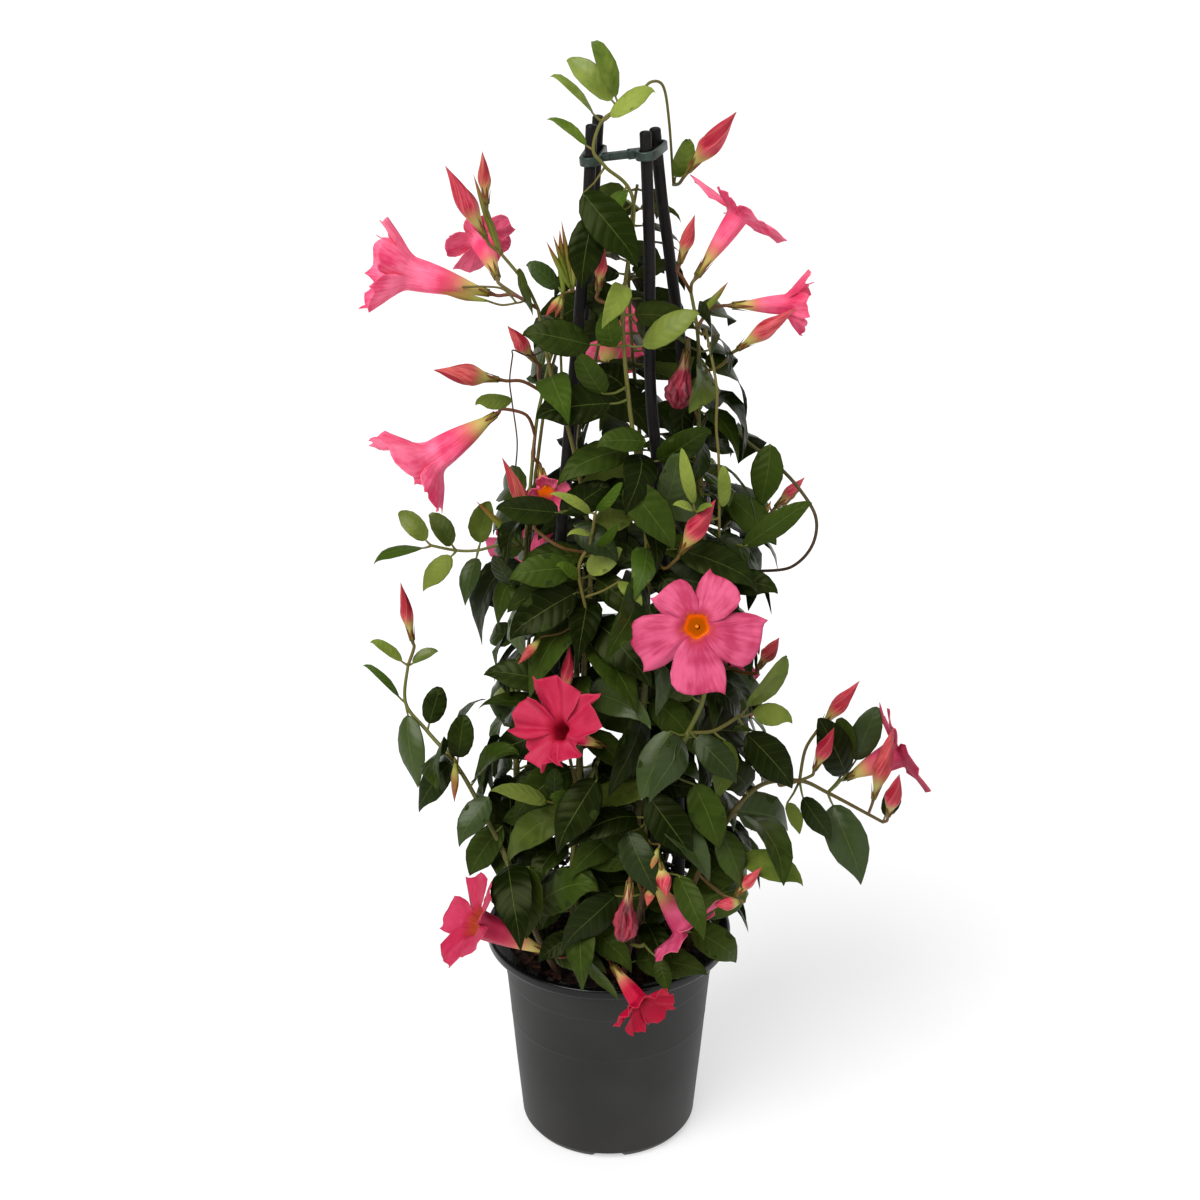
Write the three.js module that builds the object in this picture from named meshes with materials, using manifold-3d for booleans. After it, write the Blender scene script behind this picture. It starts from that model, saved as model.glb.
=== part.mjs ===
// A flowering mandevilla trained up four canes in a nursery pot.
// Millimetres, +Z up. The origin is the centre of the pot's flat base; -Y is the front.
// Every leafy stem is one fused solid: stem, side shoots, flower stalks, calyces and leaves.
// Blooms and buds are solids of their own, seated on the calyx that carries them.
import * as THREE from "three";
import { mergeVertices } from "three/addons/utils/BufferGeometryUtils.js";
import Module from "manifold-3d";

const wasm = await Module();
wasm.setup();

// ---------------------------------------------------------------- driving dimensions

const GAP = 0.3; // clearance between pieces that touch
const POT_HEIGHT = 155;
const POT_SIDES = 24;
const SOIL_TOP = 143; // where the soil meets the pot wall
const SOIL_CROWN = 147;
const GROUND = 149; // height at which every stem leaves its straight hole
const HOLE_FLOOR = 116;
const CANE_FLOOR = 80;
const CANE_RADIUS = 3.6;
const BLADE_THICKNESS = 0.7;
const ROOT_HEIGHT = 1.8;
const LEAF_CLEARANCE = 0.8;
const ROOT_TRIM = 6; // of each leaf, left out when leaves are tested against each other
const PETAL_THICKNESS = 0.8;
const CALYX_RADIUS = 2.7;
const BUD_CALYX_RADIUS = 1.9;
const STALK_RADIUS = 1.2;
const STEM_SIDES = 4;
const STALK_SIDES = 3;
const BUD_SIDES = 5;
const LEAF_ATTEMPTS = 14;
const NUDGE = 2.4;
const PLACED = 500; // leaf numbers from here on are placed by hand
const LOWEST_TIP = 168; // leaves by the rule stay clear of the pot's rim
// The column that the upright stems fill: its middle, its half width, which shrinks with the
// height, and how deep it is for its width.
const COLUMN = { middle: 12, half: 100, narrows: 420, slope: 0.2, least: 54, depth: 1.25 };
const PLANT_AXIS = new THREE.Vector3(6, 0, 0);

// Outer and inner wall of the pot from the axis outwards, as [radius, height].
const POT_PROFILE = [
  [0, 0],
  [40, 0],
  [42, 4],
  [51, 4],
  [52.5, 0],
  [58, 0],
  [61.5, 5],
  [66, 55],
  [73.5, 146.5],
  [75, 148],
  [84.5, 148],
  [85, 149],
  [85, 154.5],
  [84.5, POT_HEIGHT],
  [82, POT_HEIGHT],
  [80, 150.4],
  [72, 150],
  [64.5, 55],
  [60, 6.4],
  [42, 6.4],
  [40, 2.2],
  [0, 2.2],
];
const SOIL_PROFILE = [
  [0, 2.6],
  [39.6, 2.6],
  [41.8, 6.8],
  [59.4, 6.8],
  [64, 55],
  [71, SOIL_TOP],
  [35, SOIL_TOP + 3],
  [0, SOIL_CROWN],
];
const FOOT_NOTCH = { width: 18, height: 4, angles: [-90, 0, 90, 180] };
const DRAIN_HOLE = { radius: 3.6, ring: 46.5, count: 6 };

// Cane centre lines above the ground, from the bottom up.
const CANES = {
  cane_front_left: [
    [-43, -42, GROUND],
    [-43, -44, 250],
    [-35, -37, 384],
    [-29, -29, 483],
    [-17, -17, 621],
    [-13, -13, 672],
    [-11, -10, 717],
  ],
  cane_back_left: [
    [-43, 42, GROUND],
    [-43, 44, 250],
    [-35, 37, 384],
    [-27, 29, 483],
    [-14, 18, 611],
    [-10, 14, 665],
    [-7, 10, 718],
  ],
  cane_front_right: [
    [45, -42, GROUND],
    [47, -44, 250],
    [39, -37, 384],
    [30, -27, 503],
    [25, -20, 562],
    [24, -14, 641],
    [21, -10, 713],
  ],
  cane_back_right: [
    [45, 42, GROUND],
    [56, 42, 250],
    [54, 33, 400],
    [49, 24, 532],
    [38, 16, 623],
    [32, 12, 666],
    [27, 8, 711],
  ],
};
const CLIP = { bottom: 694.5, height: 5.6, hole: CANE_RADIUS + 0.8, rim: 2.2, tilt: 5.5 };

// ---------------------------------------------------------------- the plant, by hand
//
// stem: centre line from the ground up. radius: [at the ground, at the tip].
// leaves: { first, gap, end } along the stem, opposite pairs, each pair turned a quarter.
// shoots: side branches; root is a share of the stem's length or a point on another branch.
// leaf: hand placed blades; root: where the stalk leaves the stem (else the nearest point),
// base and tip of the blade, its width, and face, the way its upper side looks.
// greenBuds: young buds, fused to the stem, from base to tip.
// dropped: numbers of the leaves that have fallen off, where the plant shows a gap.

const VINES = {
  vine_front_left: {
    stem: [
      [-22, -50, GROUND],
      [-24, -57, 220],
      [-20, -54, 300],
      [-16, -50, 380],
      [-12, -46, 455],
      [-22, -40, 520],
      [-36, -29, 568],
      [-44, -14, 604],
    ],
    radius: [2.8, 1.4],
    leaves: { first: 24, gap: 80, end: 20 },
    dropped: [11],
    shoots: [
      { root: 1, route: [[-52, -12, 620], [-66, -12, 638]], radius: 1.3 },
      { root: 0.86, route: [[-30, -32, 590], [-28, -29, 618]], radius: 1.1 },
    ],
    leaf: [
      { base: [-22, -64, 452], tip: [-62, -72, 451], width: 22, face: [0, -0.7, 0.7] },
      { base: [-21, -62, 435], tip: [-62, -76, 413], width: 31, face: [-0.2, -0.8, 0.5] },
      { base: [-14, -55, 447], tip: [8, -60, 465], width: 18, face: [0, -0.95, 0.3] },
      { base: [-34, -62, 372], tip: [-80, -62, 381], width: 22, face: [0, -0.7, 0.7] },
      { base: [-32, -66, 356], tip: [-84, -64, 359], width: 18, face: [0, -0.4, 0.9] },
      { root: [-28, -29, 618], base: [-31, -25, 621], tip: [-51, -26, 638], width: 20, face: [0.3, -0.9, 0.2] },
      { base: [-30, -52, 484], tip: [1, -60, 509], width: 20, face: [0.2, -0.9, 0.3] },
      { base: [-22, -56, 478], tip: [5, -70, 463], width: 19, face: [0.2, -0.7, 0.7] },
      { base: [-32, -60, 488], tip: [-70, -62, 493], width: 21, face: [0, -0.95, 0.3] },
    ],
    greenBuds: [
      { base: [-28, -29, 617], tip: [-30, -31, 658], radius: 2.6 },
      { base: [-68, -11, 640], tip: [-83, 8, 682], radius: 2.2 },
    ],
  },
  vine_front_right: {
    stem: [
      [20, -50, GROUND],
      [22, -58, 230],
      [20, -56, 310],
      [24, -53, 400],
      [22, -46, 480],
      [12, -38, 550],
      [8, -32, 610],
      [14, -20, 672],
      [-3, -21, 694],
      [-10, -21, 704],
      [-5, -17, 720],
      [6, -13, 727],
      [16, -6, 732],
      [24, 3, 739],
      [32, 10, 735],
      [36, 15, 712],
      [39, 16, 674],
    ],
    radius: [2.8, 1.0],
    leaves: { first: 40, gap: 84, end: 190 },
    shoots: [],
    leaf: [
      { root: [6, -13, 727], tip: [-11, 0, 768], width: 20, face: [0.4, -0.8, 0.3] },
      { root: [6, -13, 727], tip: [-24, -2, 757], width: 18, face: [0.1, -0.8, 0.5] },
      { root: [-5, -17, 720], tip: [-36, -16, 750], width: 10, face: [0.5, -0.6, 0.6] },
      { root: [-5, -17, 720], tip: [27, -15, 741], width: 20, face: [-0.3, -0.9, 0.4] },
      { root: [-10, -21, 704], tip: [-38, -16, 723], width: 8, face: [0.3, -0.5, 0.8] },
      { root: [14, -20, 672], tip: [-18, -34, 650], width: 32, face: [0.1, -0.7, 0.7] },
      { root: [39, 16, 674], tip: [48, 6, 708], width: 22, face: [0.3, -0.9, 0.1] },
      { base: [0, -46, 554], tip: [-45, -50, 549], width: 27, face: [0, -0.8, 0.6] },
      { base: [-12, -42, 590], tip: [-53, -44, 600], width: 30, face: [-0.1, -0.9, 0.4] },
      { base: [2, -40, 588], tip: [-2, -46, 616], width: 17, face: [-0.3, -0.8, 0.3] },
      { base: [20, -38, 588], tip: [54, -42, 612], width: 18, face: [0, -0.8, 0.7] },
      { base: [30, -50, 518], tip: [62, -54, 542], width: 22, face: [0.2, -0.9, 0.3] },
      { base: [34, -54, 492], tip: [42, -60, 532], width: 20, face: [0.4, -0.9, 0.1] },
      { base: [42, -56, 462], tip: [92, -64, 443], width: 24, face: [0.1, -0.7, 0.7] },
      { base: [10, -64, 508], tip: [39, -77, 473], width: 25, face: [0.2, -0.9, 0.4] },
      { base: [-4, -52, 562], tip: [-20, -57, 592], width: 22, face: [-0.3, -0.9, 0.2] },
      { base: [22, -54, 532], tip: [-8, -62, 535], width: 20, face: [0, -0.7, 0.7] },
    ],
    greenBuds: [],
  },
  vine_right: {
    stem: [
      [54, -14, GROUND],
      [60, -18, 220],
      [62, -16, 300],
      [58, -18, 380],
      [60, -12, 450],
      [56, -11, 530],
      [56, -10, 562],
      [54, -8, 590],
      [50, -6, 612],
    ],
    radius: [2.8, 1.4],
    leaves: { first: 36, gap: 64, end: 16 },
    shoots: [],
    leaf: [
      { base: [70, -34, 430], tip: [106, -52, 434], width: 25, face: [0.2, -0.7, 0.6] },
      { base: [74, -18, 484], tip: [106, -28, 455], width: 24, face: [0.2, -0.9, 0.4] },
      { base: [84, -47, 460], tip: [126, -49, 493], width: 16, face: [0, -0.9, 0.4] },
    ],
    greenBuds: [
      { base: [56, -9, 598], tip: [73, -3, 618], radius: 2.2 },
    ],
  },
  vine_left: {
    stem: [
      [-54, -12, GROUND],
      [-60, -14, 220],
      [-62, -10, 300],
      [-57, -14, 400],
      [-54, -14, 444],
      [-47, -9, 520],
      [-42, -7, 548],
      [-32, 2, 590],
    ],
    radius: [2.8, 1.2],
    leaves: { first: 30, gap: 66, end: 4 },
    dropped: [6, 11],
    shoots: [
      { root: [-54, -14, 444], route: [[-68, -20, 450], [-84, -20, 446], [-98, -18, 445], [-114, -17, 448]], radius: 1.2 },
    ],
    leaf: [
      { root: [-114, -17, 448], tip: [-151, -22, 441], width: 21, face: [0, -0.4, 0.9] },
      { root: [-114, -17, 448], tip: [-136, -4, 467], width: 19, face: [0.2, -0.7, 0.5] },
      { root: [-98, -18, 445], tip: [-115, -22, 474], width: 22, face: [0.5, -0.8, 0.2] },
      { root: [-98, -18, 445], tip: [-120, -20, 420], width: 18, face: [-0.3, -0.9, 0.3] },
      { root: [-84, -20, 446], tip: [-92, -38, 418], width: 22, face: [-0.2, -0.8, 0.5] },
      { root: [-84, -20, 446], tip: [-74, -12, 476], width: 16, face: [-0.4, -0.8, 0.3] },
      { base: [-62, -32, 426], tip: [-73, -40, 454], width: 17, face: [-0.3, -0.9, 0.2] },
    ],
    greenBuds: [
      { base: [-56, -16, 447], tip: [-84, -26, 482], radius: 2.4 },
    ],
  },
  vine_right_loop: {
    spreading: true,
    stem: [
      [56, 14, GROUND],
      [62, 14, 220],
      [66, 14, 300],
      [66, 12, 380],
      [62, 10, 440],
      [55, 6, 505],
      [68, 10, 528],
      [89, 10, 508],
      [106, 5, 496],
      [122, 0, 480],
      [133, -2, 461],
      [131, -2, 441],
      [118, -1, 426],
      [98, 2, 422],
    ],
    radius: [2.9, 1.2],
    leaves: { first: 24, gap: 72, end: 200 },
    dropped: [104, 105],
    shoots: [
      { root: 0.5, route: [[80, 20, 452], [100, 24, 452]], radius: 1.2, leaves: { first: 14, gap: 22, end: 0 } },
    ],
    leaf: [
      { base: [102, -4, 512], tip: [96, -14, 474], width: 20, face: [0.3, -0.9, 0.3] },
    ],
    greenBuds: [],
  },
  vine_back_right: {
    stem: [
      [14, 52, GROUND],
      [20, 62, 230],
      [18, 60, 320],
      [24, 56, 420],
      [20, 48, 500],
      [14, 40, 570],
      [12, 32, 630],
      [17, 24, 672],
    ],
    radius: [2.8, 1.2],
    leaves: { first: 32, gap: 62, end: 4 },
    shoots: [],
    leaf: [],
    greenBuds: [],
  },
  vine_back_left: {
    stem: [
      [-18, 52, GROUND],
      [-20, 62, 240],
      [-22, 58, 330],
      [-15, 56, 420],
      [-20, 46, 500],
      [-6, 40, 570],
      [-3, 30, 640],
    ],
    radius: [2.8, 1.2],
    leaves: { first: 22, gap: 62, end: 4 },
    shoots: [],
    leaf: [],
    greenBuds: [],
  },
  vine_left_back: {
    stem: [
      [-56, 14, GROUND],
      [-63, 19, 240],
      [-62, 20, 320],
      [-55, 17, 410],
      [-48, 14, 480],
      [-40, 12, 540],
      [-34, 14, 566],
    ],
    radius: [2.8, 1.2],
    leaves: { first: 28, gap: 62, end: 4 },
    dropped: [11],
    shoots: [],
    leaf: [],
    greenBuds: [],
  },
  vine_low_left: {
    spreading: true,
    stem: [
      [-34, -56, GROUND],
      [-48, -70, 190],
      [-64, -70, 240],
      [-84, -58, 280],
      [-100, -42, 302],
      [-120, -27, 320],
      [-134, -20, 337],
      [-132, -15, 362],
    ],
    radius: [2.4, 1.1],
    leaves: { first: 26, gap: 40, end: 70 },
    dropped: [6],
    shoots: [],
    leaf: [
      { root: [-134, -20, 337], tip: [-163, -12, 364], width: 9, face: [0.4, -0.5, 0.8] },
      { root: [-132, -15, 362], tip: [-157, -10, 379], width: 8, face: [0.3, -0.5, 0.8] },
      { root: [-132, -15, 362], tip: [-112, -12, 372], width: 9, face: [-0.2, -0.5, 0.8] },
      { root: [-134, -20, 337], tip: [-126, -42, 288], width: 21, face: [-0.4, -0.9, 0.2] },
      { root: [-120, -27, 320], tip: [-110, -20, 352], width: 18, face: [0, -0.9, 0.3] },
      { root: [-100, -42, 302], base: [-104, -46, 306], tip: [-125, -52, 277], width: 22, face: [-0.4, -0.8, 0.4] },
      { root: [-100, -42, 302], tip: [-94, -36, 340], width: 20, face: [0, -0.9, 0.4] },
      { base: [-78, -70, 294], tip: [-97, -84, 270], width: 25, face: [-0.3, -0.8, 0.5] },
      { base: [-52, -84, 250], tip: [-54, -98, 208], width: 30, face: [-0.1, -0.9, 0.4] },
      { base: [-70, -62, 268], tip: [-92, -64, 234], width: 22, face: [-0.5, -0.8, 0.3] },
    ],
    greenBuds: [],
  },
  vine_low_front: {
    stem: [
      [-5, -60, GROUND],
      [-14, -71, 185],
      [-24, -76, 240],
      [-18, -74, 290],
      [-7, -71, 322],
    ],
    radius: [2.4, 1.4],
    leaves: { first: 20, gap: 40, end: 14 },
    shoots: [],
    leaf: [
      { base: [-40, -86, 300], tip: [-76, -92, 313], width: 17, face: [0, -0.6, 0.8] },
      { base: [-34, -84, 300], tip: [-34, -92, 330], width: 13, face: [-0.3, -0.9, 0.2] },
      { base: [-8, -86, 286], tip: [-38, -96, 312], width: 27, face: [0.2, -0.9, 0.4] },
      { base: [-8, -94, 320], tip: [-33, -113, 284], width: 27, face: [-0.2, -0.9, 0.4] },
      { base: [-22, -88, 202], tip: [-46, -94, 186], width: 16, face: [-0.2, -0.7, 0.7] },
      { base: [-20, -86, 190], tip: [6, -101, 163], width: 12, face: [-0.7, -0.5, 0.5] },
    ],
    greenBuds: [],
  },
  vine_low_right: {
    spreading: true,
    stem: [
      [34, -56, GROUND],
      [44, -72, 190],
      [58, -76, 240],
      [80, -64, 278],
      [100, -48, 291],
      [126, -35, 287],
      [146, -26, 273],
      [174, -25, 256],
      [184, -25, 250],
    ],
    radius: [2.4, 1.1],
    leaves: { first: 26, gap: 40, end: 66 },
    shoots: [],
    leaf: [
      { root: [146, -26, 273], base: [158, -24, 286], tip: [136, -32, 333], width: 26, face: [0.2, -0.95, 0.1] },
      { root: [146, -26, 273], base: [161, -14, 290], tip: [152, -8, 324], width: 16, face: [0.3, -0.9, 0.2] },
      { root: [146, -26, 273], base: [166, -8, 288], tip: [187, 2, 333], width: 20, face: [-0.3, -0.9, 0.3] },
      { root: [146, -26, 273], base: [149, -34, 268], tip: [168, -52, 224], width: 30, face: [-0.1, -0.9, 0.5] },
      { root: [126, -35, 287], base: [128, -42, 278], tip: [146, -56, 256], width: 20, face: [-0.2, -0.9, 0.4] },
      { root: [126, -35, 287], base: [118, -40, 273], tip: [126, -50, 256], width: 10, face: [0.4, -0.8, 0.4] },
      { base: [86, -78, 254], tip: [126, -86, 243], width: 22, face: [0, -0.7, 0.7] },
      { base: [72, -82, 276], tip: [86, -94, 243], width: 24, face: [0.2, -0.9, 0.3] },
      { root: [184, -25, 250], tip: [196, -8, 272], width: 14, face: [0.2, -0.6, 0.7] },
    ],
    greenBuds: [],
  },
  vine_front_middle: {
    stem: [
      [9, -63, GROUND],
      [14, -78, 188],
      [22, -84, 230],
      [24, -82, 284],
      [38, -79, 318],
      [50, -76, 344],
      [60, -70, 368],
      [60, -50, 390],
    ],
    radius: [2.4, 1.5],
    leaves: { first: 22, gap: 60, end: 20 },
    shoots: [
      { root: [50, -76, 344], route: [[66, -72, 343], [82, -66, 350]], radius: 1.3 },
      { root: [14, -78, 188], route: [[20, -89, 193], [23, -93, 197]], radius: 1.3 },
    ],
    leaf: [
      { root: [82, -66, 350], base: [89, -63, 356], tip: [112, -68, 398], width: 24, face: [0.5, -0.85, 0.1] },
      { root: [82, -66, 350], base: [92, -58, 349], tip: [118, -54, 343], width: 23, face: [0.2, -0.7, 0.6] },
      { root: [82, -66, 350], base: [88, -70, 342], tip: [80, -86, 356], width: 14, face: [0.2, -0.6, -0.7] },
      { root: [82, -66, 350], base: [88, -66, 338], tip: [118, -70, 303], width: 29, face: [0.2, -0.85, 0.5] },
      { root: [66, -72, 343], base: [74, -74, 337], tip: [69, -88, 304], width: 22, face: [0.3, -0.9, 0.3] },
      { base: [38, -86, 350], tip: [20, -100, 311], width: 27, face: [-0.2, -0.9, 0.3] },
      { base: [54, -86, 346], tip: [80, -98, 322], width: 22, face: [0.1, -0.8, 0.6] },
      { base: [24, -92, 308], tip: [52, -106, 272], width: 28, face: [0.1, -0.9, 0.4] },
      { base: [12, -94, 282], tip: [28, -112, 250], width: 24, face: [-0.2, -0.9, 0.3] },
      { base: [54, -86, 312], tip: [70, -98, 274], width: 24, face: [0.3, -0.9, 0.3] },
      { base: [44, -104, 256], tip: [60, -129, 228], width: 18, face: [0.1, -0.9, 0.4] },
      { base: [4, -90, 232], tip: [-30, -103, 204], width: 33, face: [0, -0.85, 0.5] },
      { root: [23, -93, 197], base: [32, -103, 193], tip: [38, -113, 174], width: 16, face: [0, -0.9, 0.5] },
    ],
    greenBuds: [],
  },
  vine_low_back_left: {
    stem: [
      [-34, 54, GROUND],
      [-46, 72, 205],
      [-55, 76, 262],
      [-57, 72, 320],
      [-51, 64, 372],
    ],
    radius: [2.5, 1.1],
    leaves: { first: 28, gap: 44, end: 2 },
    shoots: [],
    leaf: [],
    greenBuds: [],
  },
  vine_low_back_right: {
    stem: [
      [36, 54, GROUND],
      [48, 70, 205],
      [61, 72, 262],
      [69, 66, 320],
      [66, 58, 378],
    ],
    radius: [2.5, 1.1],
    leaves: { first: 28, gap: 44, end: 2 },
    shoots: [],
    leaf: [],
    greenBuds: [],
  },
};

// Blooms. at: the calyx; toward: the middle of the mouth; spread: lobe length;
// open: 0 for a closed cone, 1 for lobes at right angles to the tube.
const BLOOMS = {
  bloom_upper_left: {
    vine: "vine_front_left", root: 1, via: [[-58, -12, 612]],
    at: [-75, -10, 613], toward: [-120, -15, 626], spread: 30, open: 0.42, turn: 20,
  },
  bloom_upper_left_back: {
    vine: "vine_front_left", root: 1, via: [[-56, -2, 608]],
    at: [-70, 8, 618], toward: [-80, 39, 632], spread: 17, open: 0.9, turn: 50,
  },
  bloom_middle_left: {
    vine: "vine_left", root: [-47, -9, 520], via: [[-52, -11, 534]],
    at: [-72, -14, 535], toward: [-108, -24, 512], spread: 31, open: 0.5, turn: 30,
  },
  bloom_top_right: {
    vine: "vine_right", root: 1, via: [],
    at: [54, -8, 624], toward: [77, 4, 656], spread: 24, open: 0.8, turn: 10,
  },
  bloom_upper_right: {
    vine: "vine_right", root: [54, -8, 590], via: [[62, -4, 601]],
    at: [77, 0, 602], toward: [108, 2, 602], spread: 21, open: 0.4, turn: 0,
  },
  bloom_front: {
    vine: "vine_front_middle", root: 1, via: [],
    at: [56, -46, 404], toward: [53, -97, 428], spread: 30, open: 1.0, turn: 36,
  },
  bloom_front_left: {
    vine: "vine_low_front", root: 1, via: [],
    at: [-6, -76, 335], toward: [-30, -102, 358], spread: 20, open: 0.75, turn: 14,
  },
  bloom_right: {
    vine: "vine_low_right", root: [146, -26, 273], via: [],
    at: [160, -14, 278], toward: [192, -10, 294], spread: 25, open: 0.8, turn: 10,
  },
  bloom_low_left: {
    vine: "vine_low_front", root: [-14, -71, 185], via: [[-28, -78, 178]],
    at: [-42, -82, 184], toward: [-86, -94, 214], spread: 24, open: 0.7, turn: 40,
  },
  bloom_low_right: {
    vine: "vine_front_middle", root: [22, -84, 230], via: [[19, -87, 241]],
    at: [29, -86, 240], toward: [48, -99, 216], spread: 22, open: 0.85, turn: 20,
  },
  bloom_pot_front: {
    vine: "vine_low_front", root: [-14, -71, 185], via: [],
    at: [3, -84, 174], toward: [19, -105, 161], spread: 14, open: 0.65, turn: 20,
  },
  bloom_middle_hidden: {
    vine: "vine_left", root: [-47, -9, 520], via: [[-48, -15, 508]],
    at: [-43, -20, 500], toward: [-40, -37, 493], spread: 11, open: 0.7, turn: 0,
  },
  bloom_back_right: {
    vine: "vine_back_right", root: 0.5, via: [[30, 66, 412]],
    at: [34, 74, 416], toward: [40, 110, 430], spread: 28, open: 0.95, turn: 12,
  },
  bloom_back_left: {
    vine: "vine_low_back_left", root: 1, via: [],
    at: [-48, 68, 382], toward: [-50, 104, 396], spread: 27, open: 0.9, turn: 30,
  },
  bloom_back_top: {
    vine: "vine_back_left", root: 0.8, via: [[-6, 52, 538]],
    at: [-2, 62, 540], toward: [2, 98, 552], spread: 26, open: 0.85, turn: 5,
  },
  bloom_back_low: {
    vine: "vine_low_back_right", root: 0.55, via: [[64, 82, 264]],
    at: [68, 92, 268], toward: [76, 124, 276], spread: 27, open: 0.9, turn: 44,
  },
};

// Wilted blooms: a crumpled, twisted roll from its calyx to its tip.
const WILTED = {
  wilted_upper: {
    vine: "vine_right", root: [56, -11, 530], via: [[50, -18, 552]],
    at: [47, -25, 580], tip: [41, -31, 546], radius: 8,
  },
  wilted_low: {
    vine: "vine_front_middle", root: [22, -84, 230], via: [[16, -98, 254]],
    at: [13, -104, 250], tip: [9, -112, 212], radius: 7,
  },
};

// Pink buds, from calyx to tip.
const BUDS = {
  bud_upper_left_large: {
    vine: "vine_front_left", root: [-66, -12, 638], via: [], at: [-76, -13, 650], tip: [-98, -20, 694], radius: 5.8,
  },
  bud_upper_left_small: {
    vine: "vine_front_left", root: [-66, -12, 638], via: [[-71, -6, 654]], at: [-75, -3, 668], tip: [-77, 1, 698], radius: 3.8,
  },
  bud_middle_left: {
    vine: "vine_left", root: [-42, -7, 548], via: [[-54, -13, 557]], at: [-70, -18, 560], tip: [-108, -30, 570], radius: 6.4,
  },
  bud_middle_left_small: {
    vine: "vine_left", root: [-42, -7, 548], via: [[-44, -18, 562]], at: [-47, -26, 576], tip: [-62, -36, 600], radius: 4.6,
  },
  bud_left_inner: {
    vine: "vine_front_left", root: [-12, -46, 455], via: [[-30, -54, 462]], at: [-48, -50, 478], tip: [-66, -52, 521], radius: 4.4,
  },
  bud_far_left: {
    vine: "vine_low_left", root: 1, via: [], at: [-129, -12, 380], tip: [-135, -12, 420], radius: 4,
  },
  bud_top_right: {
    vine: "vine_front_right", root: 1, via: [[42, 6, 677]], at: [48, -8, 689], tip: [74, -28, 728], radius: 6.2,
  },
  bud_upper_right_upright: {
    vine: "vine_right", root: 1, via: [[45, -10, 622]], at: [43, -13, 634], tip: [51, -18, 664], radius: 4,
  },
  bud_upper_right_long: {
    vine: "vine_right", root: [56, -10, 562], via: [[68, -14, 567]], at: [80, -20, 581], tip: [112, -36, 611], radius: 5.2,
  },
  bud_top_centre: {
    vine: "vine_front_right", root: [8, -32, 610], via: [[-1, -37, 614]], at: [-7, -38, 624], tip: [-4, -42, 654], radius: 3.6,
  },
  bud_centre_right: {
    vine: "vine_front_right", root: 0.46, via: [[32, -62, 452]], at: [44, -70, 466], tip: [64, -77, 503], radius: 6.4,
  },
  bud_right_behind: {
    vine: "vine_right_loop", root: [100, 24, 452], via: [], at: [110, 26, 458], tip: [128, 32, 476], radius: 4,
  },
  bud_right_inner: {
    vine: "vine_right", root: [58, -18, 380], via: [[78, -36, 370]], at: [96, -54, 380], tip: [107, -62, 404], radius: 4.6,
  },
  bud_spray_outer: {
    vine: "vine_low_right", root: [126, -35, 287], via: [[130, -24, 304]], at: [141, -22, 322], tip: [163, -30, 358], radius: 5,
  },
  bud_spray_middle: {
    vine: "vine_low_right", root: [126, -35, 287], via: [], at: [136, -36, 297], tip: [146, -46, 332], radius: 5,
  },
  bud_spray_inner: {
    vine: "vine_low_right", root: [126, -35, 287], via: [[120, -42, 289]], at: [110, -48, 295], tip: [99, -60, 322], radius: 4.6,
  },
  bud_spray_upper: {
    vine: "vine_low_right", root: [174, -25, 256], via: [], at: [176, -34, 274], tip: [184, -50, 334], radius: 6,
  },
  bud_spray_lower: {
    vine: "vine_low_right", root: 1, via: [], at: [186, -36, 262], tip: [189, -54, 302], radius: 5.4,
  },
  bud_low_front: {
    vine: "vine_front_middle", root: [22, -84, 230], via: [[26, -98, 262]], at: [32, -106, 265], tip: [37, -115, 246], radius: 5.2,
  },
  bud_low_right: {
    vine: "vine_low_right", root: [58, -76, 240], via: [[72, -84, 231]], at: [83, -90, 233], tip: [98, -94, 256], radius: 3.8,
  },
  bud_front_left: {
    vine: "vine_low_front", root: [-18, -74, 290], via: [[-26, -76, 330]], at: [-28, -74, 368], tip: [-25, -74, 405], radius: 4,
  },
};

// ---------------------------------------------------------------- materials

const material = (color, roughness, metalness = 0) =>
  new THREE.MeshStandardMaterial({ color, roughness, metalness });
const POT_PLASTIC = material(0x3b3c3c, 0.5);
const SOIL_MATTER = material(0x2a1c14, 0.95);
const CANE_COAT = material(0x241b19, 0.55);
const CLIP_PLASTIC = material(0x3c5546, 0.45);
const FOLIAGE = material(0x2f5526, 0.4);
const PETAL = material(0xe64f7b, 0.6);
const PETAL_WILTED = material(0xa8213f, 0.7);
const BUD_SKIN = material(0xd9566c, 0.55);

// ---------------------------------------------------------------- solids and curves

const vector = (p) => (p.isVector3 ? p.clone() : new THREE.Vector3(...p));

// A closed solid from its vertices and triangles.
function solidOf(vertices, triangles) {
  const vertProperties = new Float32Array(vertices.flatMap((v) => [v.x, v.y, v.z]));
  const triVerts = new Uint32Array(triangles.flat());
  return new wasm.Manifold(new wasm.Mesh({ numProp: 3, vertProperties, triVerts }));
}

// A closed solid from a three.js geometry that is one closed surface.
function solidFrom(geometry) {
  const bare = geometry.clone();
  bare.deleteAttribute("normal");
  bare.deleteAttribute("uv");
  const merged = mergeVertices(bare, 1e-4);
  const vertProperties = merged.attributes.position.array;
  const triVerts = new Uint32Array(merged.index.array);
  return new wasm.Manifold(new wasm.Mesh({ numProp: 3, vertProperties, triVerts }));
}

function geometryOf(solid) {
  const { vertProperties, triVerts } = solid.getMesh();
  const geometry = new THREE.BufferGeometry();
  geometry.setAttribute("position", new THREE.BufferAttribute(new Float32Array(vertProperties), 3));
  geometry.setIndex(new THREE.BufferAttribute(new Uint32Array(triVerts), 1));
  geometry.computeVertexNormals();
  return geometry;
}

const join = (solids) => solids.reduce((all, one) => all.add(one));

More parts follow.
